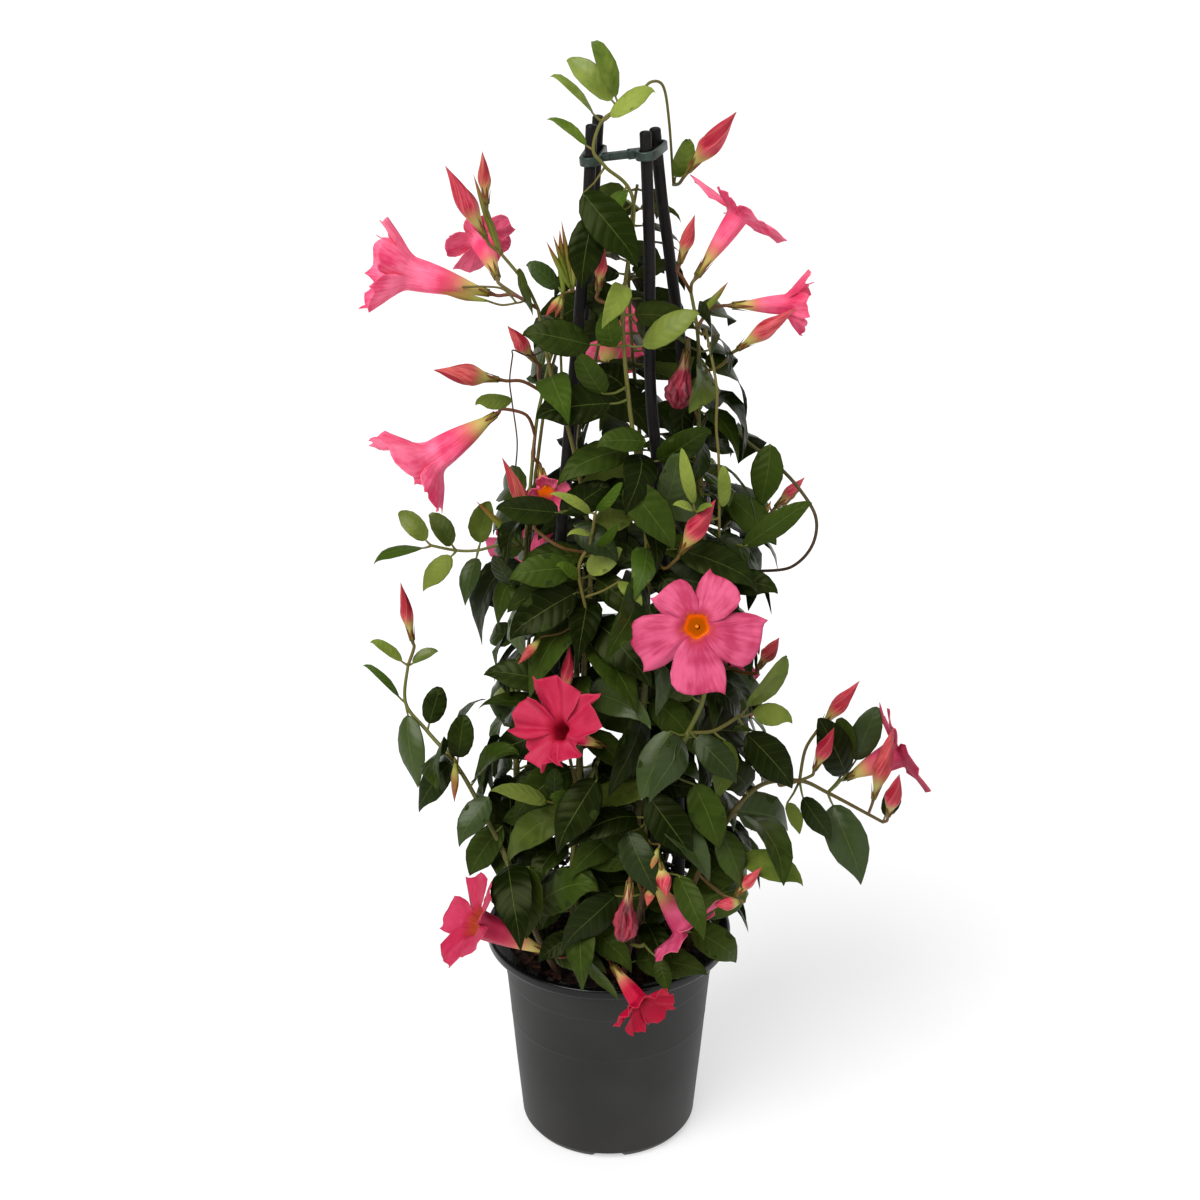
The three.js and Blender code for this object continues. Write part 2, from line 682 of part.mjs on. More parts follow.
// The largest body of a solid: loose scraps are dropped.
function largestBody(solid) {
  const bodies = solid.decompose();
  return bodies.reduce((best, body) => (body.volume() > best.volume() ? body : best));
}

// A Catmull-Rom curve through the points, as a polyline with a fixed number of steps per span.
function curve(points, steps) {
  const p = points.map(vector);
  const line = [];
  for (let i = 0; i < p.length - 1; i += 1) {
    const a = p[Math.max(i - 1, 0)];
    const b = p[i];
    const c = p[i + 1];
    const d = p[Math.min(i + 2, p.length - 1)];
    for (let k = 0; k < steps; k += 1) {
      const t = k / steps;
      const at = (x, y, z, w) =>
        0.5 * (2 * y + (z - x) * t + (2 * x - 5 * y + 4 * z - w) * t * t + (3 * y - x - 3 * z + w) * t * t * t);
      line.push(new THREE.Vector3(at(a.x, b.x, c.x, d.x), at(a.y, b.y, c.y, d.y), at(a.z, b.z, c.z, d.z)));
    }
  }
  line.push(p[p.length - 1]);
  return line;
}

function lengthsOf(line) {
  const lengths = [0];
  for (let i = 1; i < line.length; i += 1) lengths.push(lengths[i - 1] + line[i].distanceTo(line[i - 1]));
  return lengths;
}

// The point and direction at a distance along a polyline.
function along(line, distance) {
  const lengths = lengthsOf(line);
  let i = 1;
  while (i < line.length - 1 && lengths[i] < distance) i += 1;
  const share = (distance - lengths[i - 1]) / (lengths[i] - lengths[i - 1]);
  const point = line[i - 1].clone().lerp(line[i], share);
  const direction = line[i].clone().sub(line[i - 1]).normalize();
  return { point, direction };
}

const lengthOf = (line) => lengthsOf(line)[line.length - 1];

// A tapered tube along a polyline, closed at both ends.
function tube(line, radii, sides) {
  const vertices = [];
  const triangles = [];
  const lengths = lengthsOf(line);
  const total = lengths[lengths.length - 1];
  let side = new THREE.Vector3(1, 0.02, 0.013);
  line.forEach((point, i) => {
    const before = line[Math.max(i - 1, 0)];
    const after = line[Math.min(i + 1, line.length - 1)];
    const direction = after.clone().sub(before).normalize();
    side = side.addScaledVector(direction, -side.dot(direction)).normalize();
    const other = direction.clone().cross(side);
    const radius = radii(lengths[i] / total, i);
    for (let k = 0; k < sides; k += 1) {
      const angle = (2 * Math.PI * k) / sides;
      const spoke = side.clone().multiplyScalar(Math.cos(angle)).addScaledVector(other, Math.sin(angle));
      vertices.push(point.clone().addScaledVector(spoke, radius));
    }
  });
  const last = (line.length - 1) * sides;
  for (let i = 0; i < line.length - 1; i += 1) {
    for (let k = 0; k < sides; k += 1) {
      const a = i * sides + k;
      const b = i * sides + ((k + 1) % sides);
      triangles.push([a, b, b + sides], [a, b + sides, a + sides]);
    }
  }
  for (let k = 1; k < sides - 1; k += 1) {
    triangles.push([0, k + 1, k], [last, last + k, last + k + 1]);
  }
  return solidOf(vertices, triangles);
}

// A draw between 0 and 1 that depends only on its four whole numbers.
function draw(stem, leaf, attempt, channel) {
  let h = (stem * 374761393 + leaf * 668265263 + attempt * 1274126177 + channel * 2246822519) >>> 0;
  h = Math.imul(h ^ (h >>> 15), 2246822519) >>> 0;
  h = Math.imul(h ^ (h >>> 13), 3266489917) >>> 0;
  return ((h ^ (h >>> 16)) >>> 0) / 4294967296;
}

// ---------------------------------------------------------------- pot, soil, canes, clip

const lathe = (profile) =>
  solidFrom(new THREE.LatheGeometry(profile.map(([r, z]) => new THREE.Vector2(r, z)), POT_SIDES).rotateX(Math.PI / 2));

function upright(radius, bottom, top, x, y, sides) {
  const geometry = new THREE.CylinderGeometry(radius, radius, top - bottom, sides);
  geometry.rotateX(Math.PI / 2).translate(x, y, (top + bottom) / 2);
  return solidFrom(geometry);
}

function makePot() {
  let pot = lathe(POT_PROFILE);
  for (const degrees of FOOT_NOTCH.angles) {
    const notch = new THREE.BoxGeometry(16, FOOT_NOTCH.width, FOOT_NOTCH.height * 2);
    notch.translate(58, 0, 0).rotateZ(THREE.MathUtils.degToRad(degrees));
    pot = pot.subtract(solidFrom(notch));
  }
  for (let i = 0; i < DRAIN_HOLE.count; i += 1) {
    const angle = ((i + 0.5) / DRAIN_HOLE.count) * 2 * Math.PI;
    const x = DRAIN_HOLE.ring * Math.cos(angle);
    const y = DRAIN_HOLE.ring * Math.sin(angle);
    pot = pot.subtract(upright(DRAIN_HOLE.radius, 3, 9, x, y, 6));
  }
  return pot;
}

function makeSoil() {
  let soil = lathe(SOIL_PROFILE);
  for (const { stem, radius } of Object.values(VINES)) {
    const [x, y] = stem[0];
    soil = soil.subtract(upright(radius[0] + GAP + 0.6, HOLE_FLOOR - GAP, GROUND + 5, x, y, 6));
  }
  for (const line of Object.values(CANES)) {
    const [x, y] = line[0];
    soil = soil.subtract(upright(CANE_RADIUS + GAP + 0.3, CANE_FLOOR - GAP, GROUND + 5, x, y, 8));
  }
  return soil;
}

function makeCane(points) {
  const line = points.map(vector);
  line.unshift(new THREE.Vector3(points[0][0], points[0][1], CANE_FLOOR));
  return tube(line, () => CANE_RADIUS, 7);
}

// Where a cane passes the clip's height.
function caneAt(name, height) {
  const line = CANES[name].map(vector);
  const i = line.findIndex((p) => p.z > height);
  return line[i - 1].clone().lerp(line[i], (height - line[i - 1].z) / (line[i].z - line[i - 1].z));
}

// A slot with round ends round two points, as an upright solid.
function slotSolid(a, b, radius, bottom, height) {
  const shape = new THREE.Shape();
  const heading = Math.atan2(b.y - a.y, b.x - a.x);
  shape.absarc(b.x, b.y, radius, heading - Math.PI / 2, heading + Math.PI / 2);
  shape.absarc(a.x, a.y, radius, heading + Math.PI / 2, heading + (3 * Math.PI) / 2);
  const geometry = new THREE.ExtrudeGeometry(shape, { depth: height, bevelEnabled: false, curveSegments: 3 });
  return solidFrom(geometry.translate(0, 0, bottom));
}

// Two long rings, each round one pair of canes, and the strap between them.
function makeClip() {
  const middle = CLIP.bottom + CLIP.height / 2;
  const pairs = [
    [caneAt("cane_front_left", middle), caneAt("cane_back_left", middle)],
    [caneAt("cane_front_right", middle), caneAt("cane_back_right", middle)],
  ];
  const rings = pairs.map(([a, b]) => slotSolid(a, b, CLIP.hole + CLIP.rim, CLIP.bottom, CLIP.height));
  const holes = pairs.map(([a, b]) => slotSolid(a, b, CLIP.hole, CLIP.bottom - 2, CLIP.height + 4));
  const left = pairs[0][0].clone().lerp(pairs[0][1], 0.2);
  const right = pairs[1][0].clone().lerp(pairs[1][1], 0.35);
  const strap = slotSolid(left, right, 2.2, CLIP.bottom + 0.4, CLIP.height - 0.8);
  const boss = slotSolid(left.clone().lerp(right, 0.66), left.clone().lerp(right, 0.86), 3.2, CLIP.bottom, CLIP.height);
  const clip = holes.reduce((solid, hole) => solid.subtract(hole), join([...rings, strap, boss]));
  const geometry = geometryOf(clip);
  const centre = pairs.flat().reduce((sum, p) => sum.add(p), new THREE.Vector3()).multiplyScalar(0.25);
  geometry.translate(-centre.x, -centre.y, -middle);
  geometry.rotateY(THREE.MathUtils.degToRad(-CLIP.tilt));
  geometry.translate(centre.x, centre.y, middle);
  return solidFrom(geometry);
}

// ---------------------------------------------------------------- leaves

// A thin blade over a spine of four points: an upright edge sunk in the stem, two flat
// stations and the tip. swell fattens it; trim starts it that far from the stem's middle.
function bladeSolid({ spine, across, width }, swell = 0, trim = 0) {
  const [root, middle, outer, tip] = spine;
  const start = root.clone().addScaledVector(middle.clone().sub(root).normalize(), trim);
  const rise = middle.clone().sub(root).cross(across).setLength(ROOT_HEIGHT / 2);
  const vertices = [start.clone().sub(rise), start.clone().add(rise)];
  for (const [point, before, after, share] of [[middle, root, outer, 1], [outer, middle, tip, 0.8]]) {
    const normal = after.clone().sub(before).cross(across).setLength((BLADE_THICKNESS + swell) / 2);
    const side = across.clone().setLength((width * share + swell) / 2);
    vertices.push(point.clone().sub(side).sub(normal), point.clone().add(side).sub(normal));
    vertices.push(point.clone().add(side).add(normal), point.clone().sub(side).add(normal));
  }
  vertices.push(tip.clone());
  const triangles = [[0, 3, 2], [0, 1, 4], [0, 4, 3], [1, 5, 4], [1, 0, 2], [1, 2, 5]];
  for (let k = 0; k < 4; k += 1) {
    const next = (k + 1) % 4;
    triangles.push([2 + k, 2 + next, 6 + next], [2 + k, 6 + next, 6 + k], [6 + k, 6 + next, 10]);
  }
  return solidOf(vertices, triangles);
}

// Leaves get smaller towards the top of the plant.
const leafLength = (height) => THREE.MathUtils.clamp(60 - (height - 430) * 0.085, 38, 58);

// A leaf that follows the rule: opposite pairs and quarter turns along the stem, blades that
// turn their upper face outwards to the light and arch over towards the tip.
function ruledLeaf(stemNumber, leafNumber, attempt, { point, direction }) {
  const roll = (channel) => draw(stemNumber, leafNumber, attempt, channel);
  const outward = point.clone().sub(PLANT_AXIS).setZ(0).normalize();
  const aside = new THREE.Vector3(-outward.y, outward.x, 0);
  const inPlane = outward.clone().addScaledVector(direction, -outward.dot(direction)).normalize();
  const beside = direction.clone().cross(inPlane);
  const pair = Math.floor(leafNumber / 2);
  const angle = (pair * Math.PI) / 2 + (leafNumber % 2) * Math.PI + 0.6 + (roll(0) - 0.5) * 1.6;
  const heading = inPlane.multiplyScalar(Math.cos(angle)).addScaledVector(beside, Math.sin(angle));
  heading.addScaledVector(outward, 0.35).normalize();
  const face = outward.clone().multiplyScalar(0.45 + 0.6 * roll(1));
  face.addScaledVector(aside, (roll(2) - 0.5) * 1.1).add(new THREE.Vector3(0, 0, 0.3 + 0.7 * roll(3))).normalize();
  const course = heading.clone().add(new THREE.Vector3(0, 0, -0.35 - 0.3 * roll(4)));
  course.addScaledVector(face, -course.dot(face)).normalize();
  const across = face.clone().cross(course);
  const blade = leafLength(point.z) * (0.8 + 0.32 * roll(5));
  const stalk = 4 + 6 * roll(6);
  const bend = (amount) => course.clone().addScaledVector(face, amount).normalize();
  const spine = [point.clone()];
  spine.push(point.clone().addScaledVector(heading.add(bend(0.5)).normalize(), stalk + blade * 0.3));
  spine.push(spine[1].clone().addScaledVector(bend(0), blade * 0.38));
  spine.push(spine[2].clone().addScaledVector(bend(-0.3 - 0.3 * roll(7)), blade * 0.34));
  return { spine, across, width: blade * (0.46 + 0.1 * roll(8)) };
}

// Whether a tip by the rule keeps to the plant's outline: a column that narrows upwards. Stems
// that reach out of it only keep their leaves from hanging low.
function inOutline({ spine }, spreading) {
  const tip = spine[3];
  const away = Math.hypot(tip.x - COLUMN.middle, tip.y / COLUMN.depth);
  const lowest = LOWEST_TIP + Math.max(0, Math.abs(tip.x) - 90) * 2.6;
  const reach = COLUMN.half - Math.max(0, tip.z - COLUMN.narrows) * COLUMN.slope;
  return tip.z > lowest && (spreading || away < Math.max(COLUMN.least, reach));
}

// A leaf placed by hand: a stalk from its root to the base, then the blade to the tip. It is
// nudged a little more with each attempt.
function placedLeaf(stemNumber, leafNumber, attempt, line, spec) {
  const nudge = (channel) => (draw(stemNumber, leafNumber, attempt, channel) - 0.5) * attempt * NUDGE;
  const end = vector(spec.tip).add(new THREE.Vector3(nudge(0), nudge(1), nudge(2)));
  const near = spec.root ?? nearestOn(line, vector(spec.base));
  const root = rootPoint(line, near);
  const base = spec.base ? vector(spec.base) : root.clone().lerp(end, 0.15);
  const chord = end.clone().sub(base);
  const across = vector(spec.face).cross(chord).normalize();
  const normal = chord.clone().cross(across).normalize();
  const arch = chord.length() * 0.08;
  const spine = [root];
  spine.push(base.clone().addScaledVector(chord, 0.36).addScaledVector(normal, arch));
  spine.push(base.clone().addScaledVector(chord, 0.72).addScaledVector(normal, arch * 0.8));
  spine.push(end);
  return { spine, across, width: spec.width };
}

// ---------------------------------------------------------------- blooms and buds

// A frame whose third direction is the axis.
function frameAlong(axis, turn) {
  const helper = Math.abs(axis.z) > 0.9 ? new THREE.Vector3(1, 0, 0) : new THREE.Vector3(0, 0, 1);
  const first = helper.clone().addScaledVector(axis, -helper.dot(axis)).normalize();
  const second = axis.clone().cross(first);
  const angle = THREE.MathUtils.degToRad(turn);
  return [
    first.clone().multiplyScalar(Math.cos(angle)).addScaledVector(second, Math.sin(angle)),
    second.clone().multiplyScalar(Math.cos(angle)).addScaledVector(first, -Math.sin(angle)),
  ];
}

// Three columns a lobe: a round shoulder, an off-centre point and the notch to the next lobe.
const LOBES = 5;
const LOBE_COLUMNS = [
  { turn: -14, reach: 0.9 },
  { turn: 16, reach: 1.06 },
  { turn: 36, reach: 0.46 },
];

// A thin funnel with five lobes: a five-sided tube, outer rows out to the lobes' edge, then
// inner rows back down to a point deep in the tube.
function bloomSolid(number, { at, toward, spread, open, turn }) {
  const base = vector(at);
  const mouth = vector(toward);
  const axis = mouth.clone().sub(base).normalize();
  const depth = mouth.distanceTo(base);
  base.addScaledVector(axis, GAP);
  const [first, second] = frameAlong(axis, turn);
  const throat = Math.min(10, 2 + spread * 0.3);
  const columns = [];
  for (let lobe = 0; lobe < LOBES; lobe += 1) {
    const tilt = (open + (draw(900 + number, lobe, 0, 0) - 0.5) * 0.24) * (Math.PI / 2);
    const reach = spread * (0.92 + 0.16 * draw(900 + number, lobe, 0, 1));
    for (const column of LOBE_COLUMNS) {
      const angle = THREE.MathUtils.degToRad(lobe * (360 / LOBES) + column.turn);
      columns.push({ angle, tilt, reach: reach * column.reach });
    }
  }
  const ridges = columns.filter((column, k) => k % LOBE_COLUMNS.length === 0);
  const wall = PETAL_THICKNESS;
  const rows = [
    [ridges, () => [2.4, 0]],
    [ridges, () => [4, depth * 0.42]],
    [columns, () => [throat, depth]],
    [columns, ({ tilt, reach }) => [throat + reach * Math.sin(tilt), depth + reach * Math.cos(tilt)]],
    [columns, ({ tilt, reach }) => [
      throat + reach * Math.sin(tilt) - wall * Math.cos(tilt),
      depth + reach * Math.cos(tilt) + wall * Math.sin(tilt),
    ]],
    [columns, () => [throat - wall, depth + wall * 0.5]],
  ];
  const vertices = [];
  const triangles = [];
  let before = [];
  for (const [members, place] of rows) {
    const row = members.map((column) => {
      const [radius, height] = place(column);
      const spoke = first.clone().multiplyScalar(Math.cos(column.angle));
      spoke.addScaledVector(second, Math.sin(column.angle));
      vertices.push(base.clone().addScaledVector(axis, height).addScaledVector(spoke, radius));
      return vertices.length - 1;
    });
    const ratio = before.length ? row.length / before.length : 0;
    before.forEach((a, k) => {
      const b = before[(k + 1) % before.length];
      for (let j = 0; j < ratio; j += 1) {
        triangles.push([a, row[(k * ratio + j + 1) % row.length], row[k * ratio + j]]);
      }
      triangles.push([a, b, row[((k + 1) * ratio) % row.length]]);
    });
    before = row;
  }
  vertices.push(base.clone().addScaledVector(axis, depth * 0.5));
  before.forEach((a, k) => triangles.push([a, before[(k + 1) % before.length], vertices.length - 1]));
  for (let k = 1; k < LOBES - 1; k += 1) triangles.push([0, k + 1, k]);
  return solidOf(vertices, triangles);
}

// A solid of revolution with few sides and a wrinkled outline, from base to tip.
function spindle(base, tip, rings, sides, wrinkle, number) {
  const axis = tip.clone().sub(base).normalize();
  const length = tip.distanceTo(base);
  const [first, second] = frameAlong(axis, 0);
  const vertices = [];
  rings.forEach(([share, radius], ring) => {
    for (let k = 0; k < sides; k += 1) {
      const angle = (2 * Math.PI * k) / sides + ring * 0.35;
      const swell = 1 + wrinkle * (draw(700 + number, ring, k, 0) - 0.5);
      const spoke = first.clone().multiplyScalar(Math.cos(angle)).addScaledVector(second, Math.sin(angle));
      vertices.push(base.clone().addScaledVector(axis, share * length).addScaledVector(spoke, radius * swell));
    }
  });
  vertices.push(tip.clone());
  const triangles = [];
  for (let ring = 0; ring < rings.length - 1; ring += 1) {
    for (let k = 0; k < sides; k += 1) {
      const a = ring * sides + k;
      const b = ring * sides + ((k + 1) % sides);
      triangles.push([a, b, b + sides], [a, b + sides, a + sides]);
    }
  }
  const last = (rings.length - 1) * sides;
  for (let k = 0; k < sides; k += 1) {
    triangles.push([last + k, last + ((k + 1) % sides), vertices.length - 1]);
    if (k > 0 && k < sides - 1) triangles.push([0, k + 1, k]);
  }
  return solidOf(vertices, triangles);
}

function budSolid({ at, tip, radius }) {
  const base = vector(at);
  const end = vector(tip);
  base.addScaledVector(end.clone().sub(base).normalize(), GAP);
  const rings = [[0, 1.6], [0.3, radius * 0.8], [0.58, radius]];
  return spindle(base, end, rings, BUD_SIDES, 0, 0);
}

function wiltedSolid(number, { at, tip, radius }) {
  const base = vector(at);
  const end = vector(tip);
  base.addScaledVector(end.clone().sub(base).normalize(), GAP);
  const rings = [[0, 2], [0.2, radius * 0.55], [0.4, radius * 0.7], [0.62, radius], [0.84, radius * 0.8]];
  return spindle(base, end, rings, 8, 0.5, number);
}

// ---------------------------------------------------------------- stems

const CURVE_STEPS = 16; // steps per span of the curve that leaves and stalks start from
const LONG_SPAN = 56; // spans longer than this get a middle ring in the faceted tube

// The few points that a faceted tube along the curve needs.
function tubeLine(points) {
  const line = curve(points, 2);
  return line.filter((point, i) => i % 2 === 0 || line[i - 1].distanceTo(line[i + 1]) > LONG_SPAN);
}

function nearestOn(line, point) {
  return line.reduce((best, p) => (p.distanceTo(point) < best.distanceTo(point) ? p : best));
}

function rootPoint(line, root) {
  return typeof root === "number" ? along(line, root * lengthOf(line)).point : vector(root);
}

// A stalk to a calyx: it arrives along the axis of what it carries and ends in a small cup.
function stalkSolid(line, { root, via, at, tip, toward }, cupRadius) {
  const end = vector(at);
  const axis = vector(tip ?? toward).sub(end).normalize();
  const route = [rootPoint(line, root), ...via.map(vector), end.clone().addScaledVector(axis, -7)];
  const path = curve(route, 1);
  path.push(end.clone().addScaledVector(axis, -3), end);
  const flare = [cupRadius, cupRadius * 0.85];
  return tube(path, (share, i) => flare[path.length - 1 - i] ?? STALK_RADIUS, STALK_SIDES);
}

const STALKS = { ...BLOOMS, ...WILTED, ...BUDS };

// Everything green or woody of one leafy stem except its leaves.
function stemSolids(name, vine) {
  const line = curve(vine.stem, CURVE_STEPS);
  const [thick, thin] = vine.radius;
  const main = tubeLine(vine.stem);
  main.unshift(new THREE.Vector3(vine.stem[0][0], vine.stem[0][1], HOLE_FLOOR));
  const solids = [tube(main, (share) => thick + (thin - thick) * share, STEM_SIDES)];
  for (const { root, route, radius } of vine.shoots) {
    solids.push(tube(tubeLine([rootPoint(line, root), ...route]), () => radius, STEM_SIDES));
  }
  for (const [part, stalk] of Object.entries(STALKS)) {
    if (stalk.vine !== name) continue;
    solids.push(stalkSolid(line, stalk, part.startsWith("bud") ? BUD_CALYX_RADIUS : CALYX_RADIUS));
  }
  for (const { base, tip, radius } of vine.greenBuds) {
    const rings = [[0, 0.9], [0.4, radius], [0.75, radius * 0.6]];
    solids.push(spindle(vector(base), vector(tip), rings, 4, 0, 0));
  }
  return solids;
}

// The leaves of one stem as candidates, each a function of its attempt.
function leavesByHand(stemNumber, vine) {
  const line = curve(vine.stem, CURVE_STEPS);
  return vine.leaf.map((spec, i) => (attempt) => placedLeaf(stemNumber, PLACED + i, attempt, line, spec));
}

function leavesByRule(stemNumber, vine) {
  const line = curve(vine.stem, CURVE_STEPS);
  const candidates = [];
  const ruled = (path, { first, gap, end }, offset) => {
    const total = lengthOf(path);
    for (let pair = 0; first + pair * gap <= total - end; pair += 1) {
      for (const side of [0, 1]) {
        const leafNumber = offset + pair * 2 + side;
        if (vine.dropped?.includes(leafNumber)) continue;
        const start = along(path, first + pair * gap);
        candidates.push((attempt) => {
          const blade = ruledLeaf(stemNumber, leafNumber, attempt, start);
          return inOutline(blade, vine.spreading) ? blade : null;
        });
      }
    }
  };
  ruled(line, vine.leaves, 0);
  vine.shoots.forEach(({ root, route, leaves }, i) => {
    if (!leaves) return;
    ruled(curve([rootPoint(line, root), ...route], CURVE_STEPS), leaves, 100 * (i + 1));
  });
  return candidates;
}

// ---------------------------------------------------------------- fitting leaves in

// What leaves must keep clear of. Pieces of the leaf's own node are met without the roots,
// where both run into the same stem.
const obstacles = [];

function addObstacle(node, whole, trimmed = whole) {
  obstacles.push({ node, whole, trimmed, box: whole.boundingBox() });
}

const apart = (a, b) => [0, 1, 2].some((k) => a.max[k] < b.min[k] || b.max[k] < a.min[k]);

function isClear(node, whole, trimmed) {
  const box = whole.boundingBox();
  return obstacles.every((other) => {
    if (apart(other.box, box)) return true;
    const common = other.node === node ? other.trimmed.intersect(trimmed) : other.whole.intersect(whole);
    return common.isEmpty();
  });
}

// ---------------------------------------------------------------- the object

const mandevilla = new THREE.Group();
mandevilla.name = "mandevilla";

function addPiece(group, name, solid, piece) {
  const mesh = new THREE.Mesh(geometryOf(solid), piece);
  mesh.name = name;
  group.add(mesh);
}

const holder = new THREE.Group();
const plant = new THREE.Group();
mandevilla.add(holder, plant);

const pot = makePot();
const soil = makeSoil();
const clip = makeClip();
addPiece(holder, "pot", pot, POT_PLASTIC);
addPiece(holder, "soil", soil, SOIL_MATTER);
addPiece(holder, "cane_clip", clip, CLIP_PLASTIC);
addObstacle("pot", pot);
addObstacle("soil", soil);
addObstacle("cane_clip", clip);
for (const [name, points] of Object.entries(CANES)) {
  const cane = makeCane(points);
  addPiece(holder, name, cane, CANE_COAT);
  addObstacle(name, cane);
}

Object.entries(BLOOMS).forEach(([name, spec], number) => {
  const bloom = bloomSolid(number, spec);
  addPiece(plant, name, bloom, PETAL);
  addObstacle(name, bloom);
});
Object.entries(WILTED).forEach(([name, spec], number) => {
  const wilted = wiltedSolid(number, spec);
  addPiece(plant, name, wilted, PETAL_WILTED);
  addObstacle(name, wilted);
});
for (const [name, spec] of Object.entries(BUDS)) {
  const bud = budSolid(spec);
  addPiece(plant, name, bud, BUD_SKIN);
  addObstacle(name, bud);
}

const bodies = {};
for (const [name, vine] of Object.entries(VINES)) {
  bodies[name] = stemSolids(name, vine);
  for (const solid of bodies[name]) addObstacle(name, solid);
}
function growLeaf(name, candidate) {
  for (let attempt = 0; attempt < LEAF_ATTEMPTS; attempt += 1) {
    const blade = candidate(attempt);
    if (!blade) continue;
    const swollen = [bladeSolid(blade, LEAF_CLEARANCE), bladeSolid(blade, LEAF_CLEARANCE, ROOT_TRIM)];
    if (!isClear(name, ...swollen)) continue;
    bodies[name].push(bladeSolid(blade));
    addObstacle(name, bladeSolid(blade), bladeSolid(blade, 0, ROOT_TRIM));
    return;
  }
}
for (const leavesOf of [leavesByHand, leavesByRule]) {
  Object.entries(VINES).forEach(([name, vine], stemNumber) => {
    leavesOf(stemNumber, vine).forEach((candidate) => growLeaf(name, candidate));
  });
}
for (const name of Object.keys(VINES)) {
  addPiece(plant, name, largestBody(join(bodies[name])), FOLIAGE);
}

export default mandevilla;
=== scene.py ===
# %% [markdown]
# # A mandevilla on four bowed canes, in its nursery pot
# The construction is already packed: every stem, leaf, bloom, bud, cane and the pot have their
# place and size in a fixed frame. This lesson loads that frame and puts a finer piece on each
# of its nodes. All sizes below are in millimetres, and become metres when a mesh is made.

# %% Load the fixed frame
import math

import bpy
import numpy as np
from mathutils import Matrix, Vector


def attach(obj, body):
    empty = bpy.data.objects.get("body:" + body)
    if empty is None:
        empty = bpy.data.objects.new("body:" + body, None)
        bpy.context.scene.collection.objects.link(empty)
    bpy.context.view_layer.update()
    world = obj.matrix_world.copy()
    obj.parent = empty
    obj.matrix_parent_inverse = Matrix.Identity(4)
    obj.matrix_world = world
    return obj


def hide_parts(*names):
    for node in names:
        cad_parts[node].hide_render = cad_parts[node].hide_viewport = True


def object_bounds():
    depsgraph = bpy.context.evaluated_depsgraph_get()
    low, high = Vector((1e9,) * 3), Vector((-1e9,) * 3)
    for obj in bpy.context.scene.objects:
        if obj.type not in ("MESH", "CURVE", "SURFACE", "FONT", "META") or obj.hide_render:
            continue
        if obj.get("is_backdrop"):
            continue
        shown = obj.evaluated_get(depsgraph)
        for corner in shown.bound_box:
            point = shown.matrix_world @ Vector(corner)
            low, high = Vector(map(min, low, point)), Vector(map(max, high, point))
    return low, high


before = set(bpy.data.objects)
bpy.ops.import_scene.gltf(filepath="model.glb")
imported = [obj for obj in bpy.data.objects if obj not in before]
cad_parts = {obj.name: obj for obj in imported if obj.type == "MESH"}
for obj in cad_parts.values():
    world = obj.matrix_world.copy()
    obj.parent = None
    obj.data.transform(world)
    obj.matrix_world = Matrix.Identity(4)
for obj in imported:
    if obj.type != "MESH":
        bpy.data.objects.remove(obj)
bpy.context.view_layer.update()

# %% [markdown]
# ## Numbers that repeat on every run
# A plant looks grown when its repeats differ a little. A whole-number hash gives the same
# draw for the same leaf on every run, which a shared random generator wouldn't if one leaf
# were added in between. The four whole numbers say which stem, leaf, attempt and property.

# %% Seeded draws
WORD = 0xFFFFFFFF


def draw(stem, leaf, attempt, channel):
    """Mixes the four numbers by odd multipliers and shifts into a share from 0 to 1."""
    h = (stem * 374761393 + leaf * 668265263 + attempt * 1274126177 + channel * 2246822519) & WORD
    h = ((h ^ (h >> 15)) * 2246822519) & WORD
    h = ((h ^ (h >> 13)) * 3266489917) & WORD
    return (h ^ (h >> 16)) / (WORD + 1)


print("first draws:", [round(draw(0, 0, 0, channel), 3) for channel in range(3)])

# %% [markdown]
# ## Vectors, curves and widths
# Everything on the plant follows a line in space: stems, petioles, midribs and petal veins.
# One smooth curve through a few chosen points keeps such a line easy to write down. Its
# directions give the frames in which cross-sections are laid out.

# %% Curves
def unit(v):
    """A vector or an array of vectors divided by its length."""
    v = np.asarray(v, float)
    return v / np.maximum(np.linalg.norm(v, axis=-1, keepdims=True), 1e-9)


def spline(points, steps):
    """Catmull-Rom: each span is the cubic through its two ends with the slope of the chord
    between their neighbours."""
    p = np.asarray(points, float)
    a, b, c, d = p[np.maximum(np.arange(len(p) - 1) - 1, 0)], p[:-1], p[1:], np.vstack([p[2:], p[-1:]])
    t = (np.arange(steps) / steps)[None, :, None]
    a, b, c, d = (x[:, None, :] for x in (a, b, c, d))
    line = 0.5 * (2 * b + (c - a) * t + (2 * a - 5 * b + 4 * c - d) * t**2 + (3 * b - a - 3 * c + d) * t**3)
    return np.vstack([line.reshape(-1, 3), p[-1:]])


def lengths(line):
    """The distance from a polyline's start to each of its points."""
    return np.concatenate([[0], np.cumsum(np.linalg.norm(np.diff(line, axis=0), axis=1))])


def along(line, distance):
    """The point at a distance along a polyline, and its direction there."""
    reach = lengths(line)
    i = int(np.clip(np.searchsorted(reach, distance, side="left"), 1, len(line) - 1))
    share = (distance - reach[i - 1]) / (reach[i] - reach[i - 1])
    return line[i - 1] + share * (line[i] - line[i - 1]), unit(line[i] - line[i - 1])


def root_point(line, root):
    """A root is a share of the stem's length, or a point."""
    return along(line, root * lengths(line)[-1])[0] if np.isscalar(root) else np.array(root, float)


def smooth(low, high, x):
    """0 below low, 1 above high, and an S-curve between them."""
    t = np.clip((np.asarray(x, float) - low) / (high - low), 0, 1)
    return t * t * (3 - 2 * t)


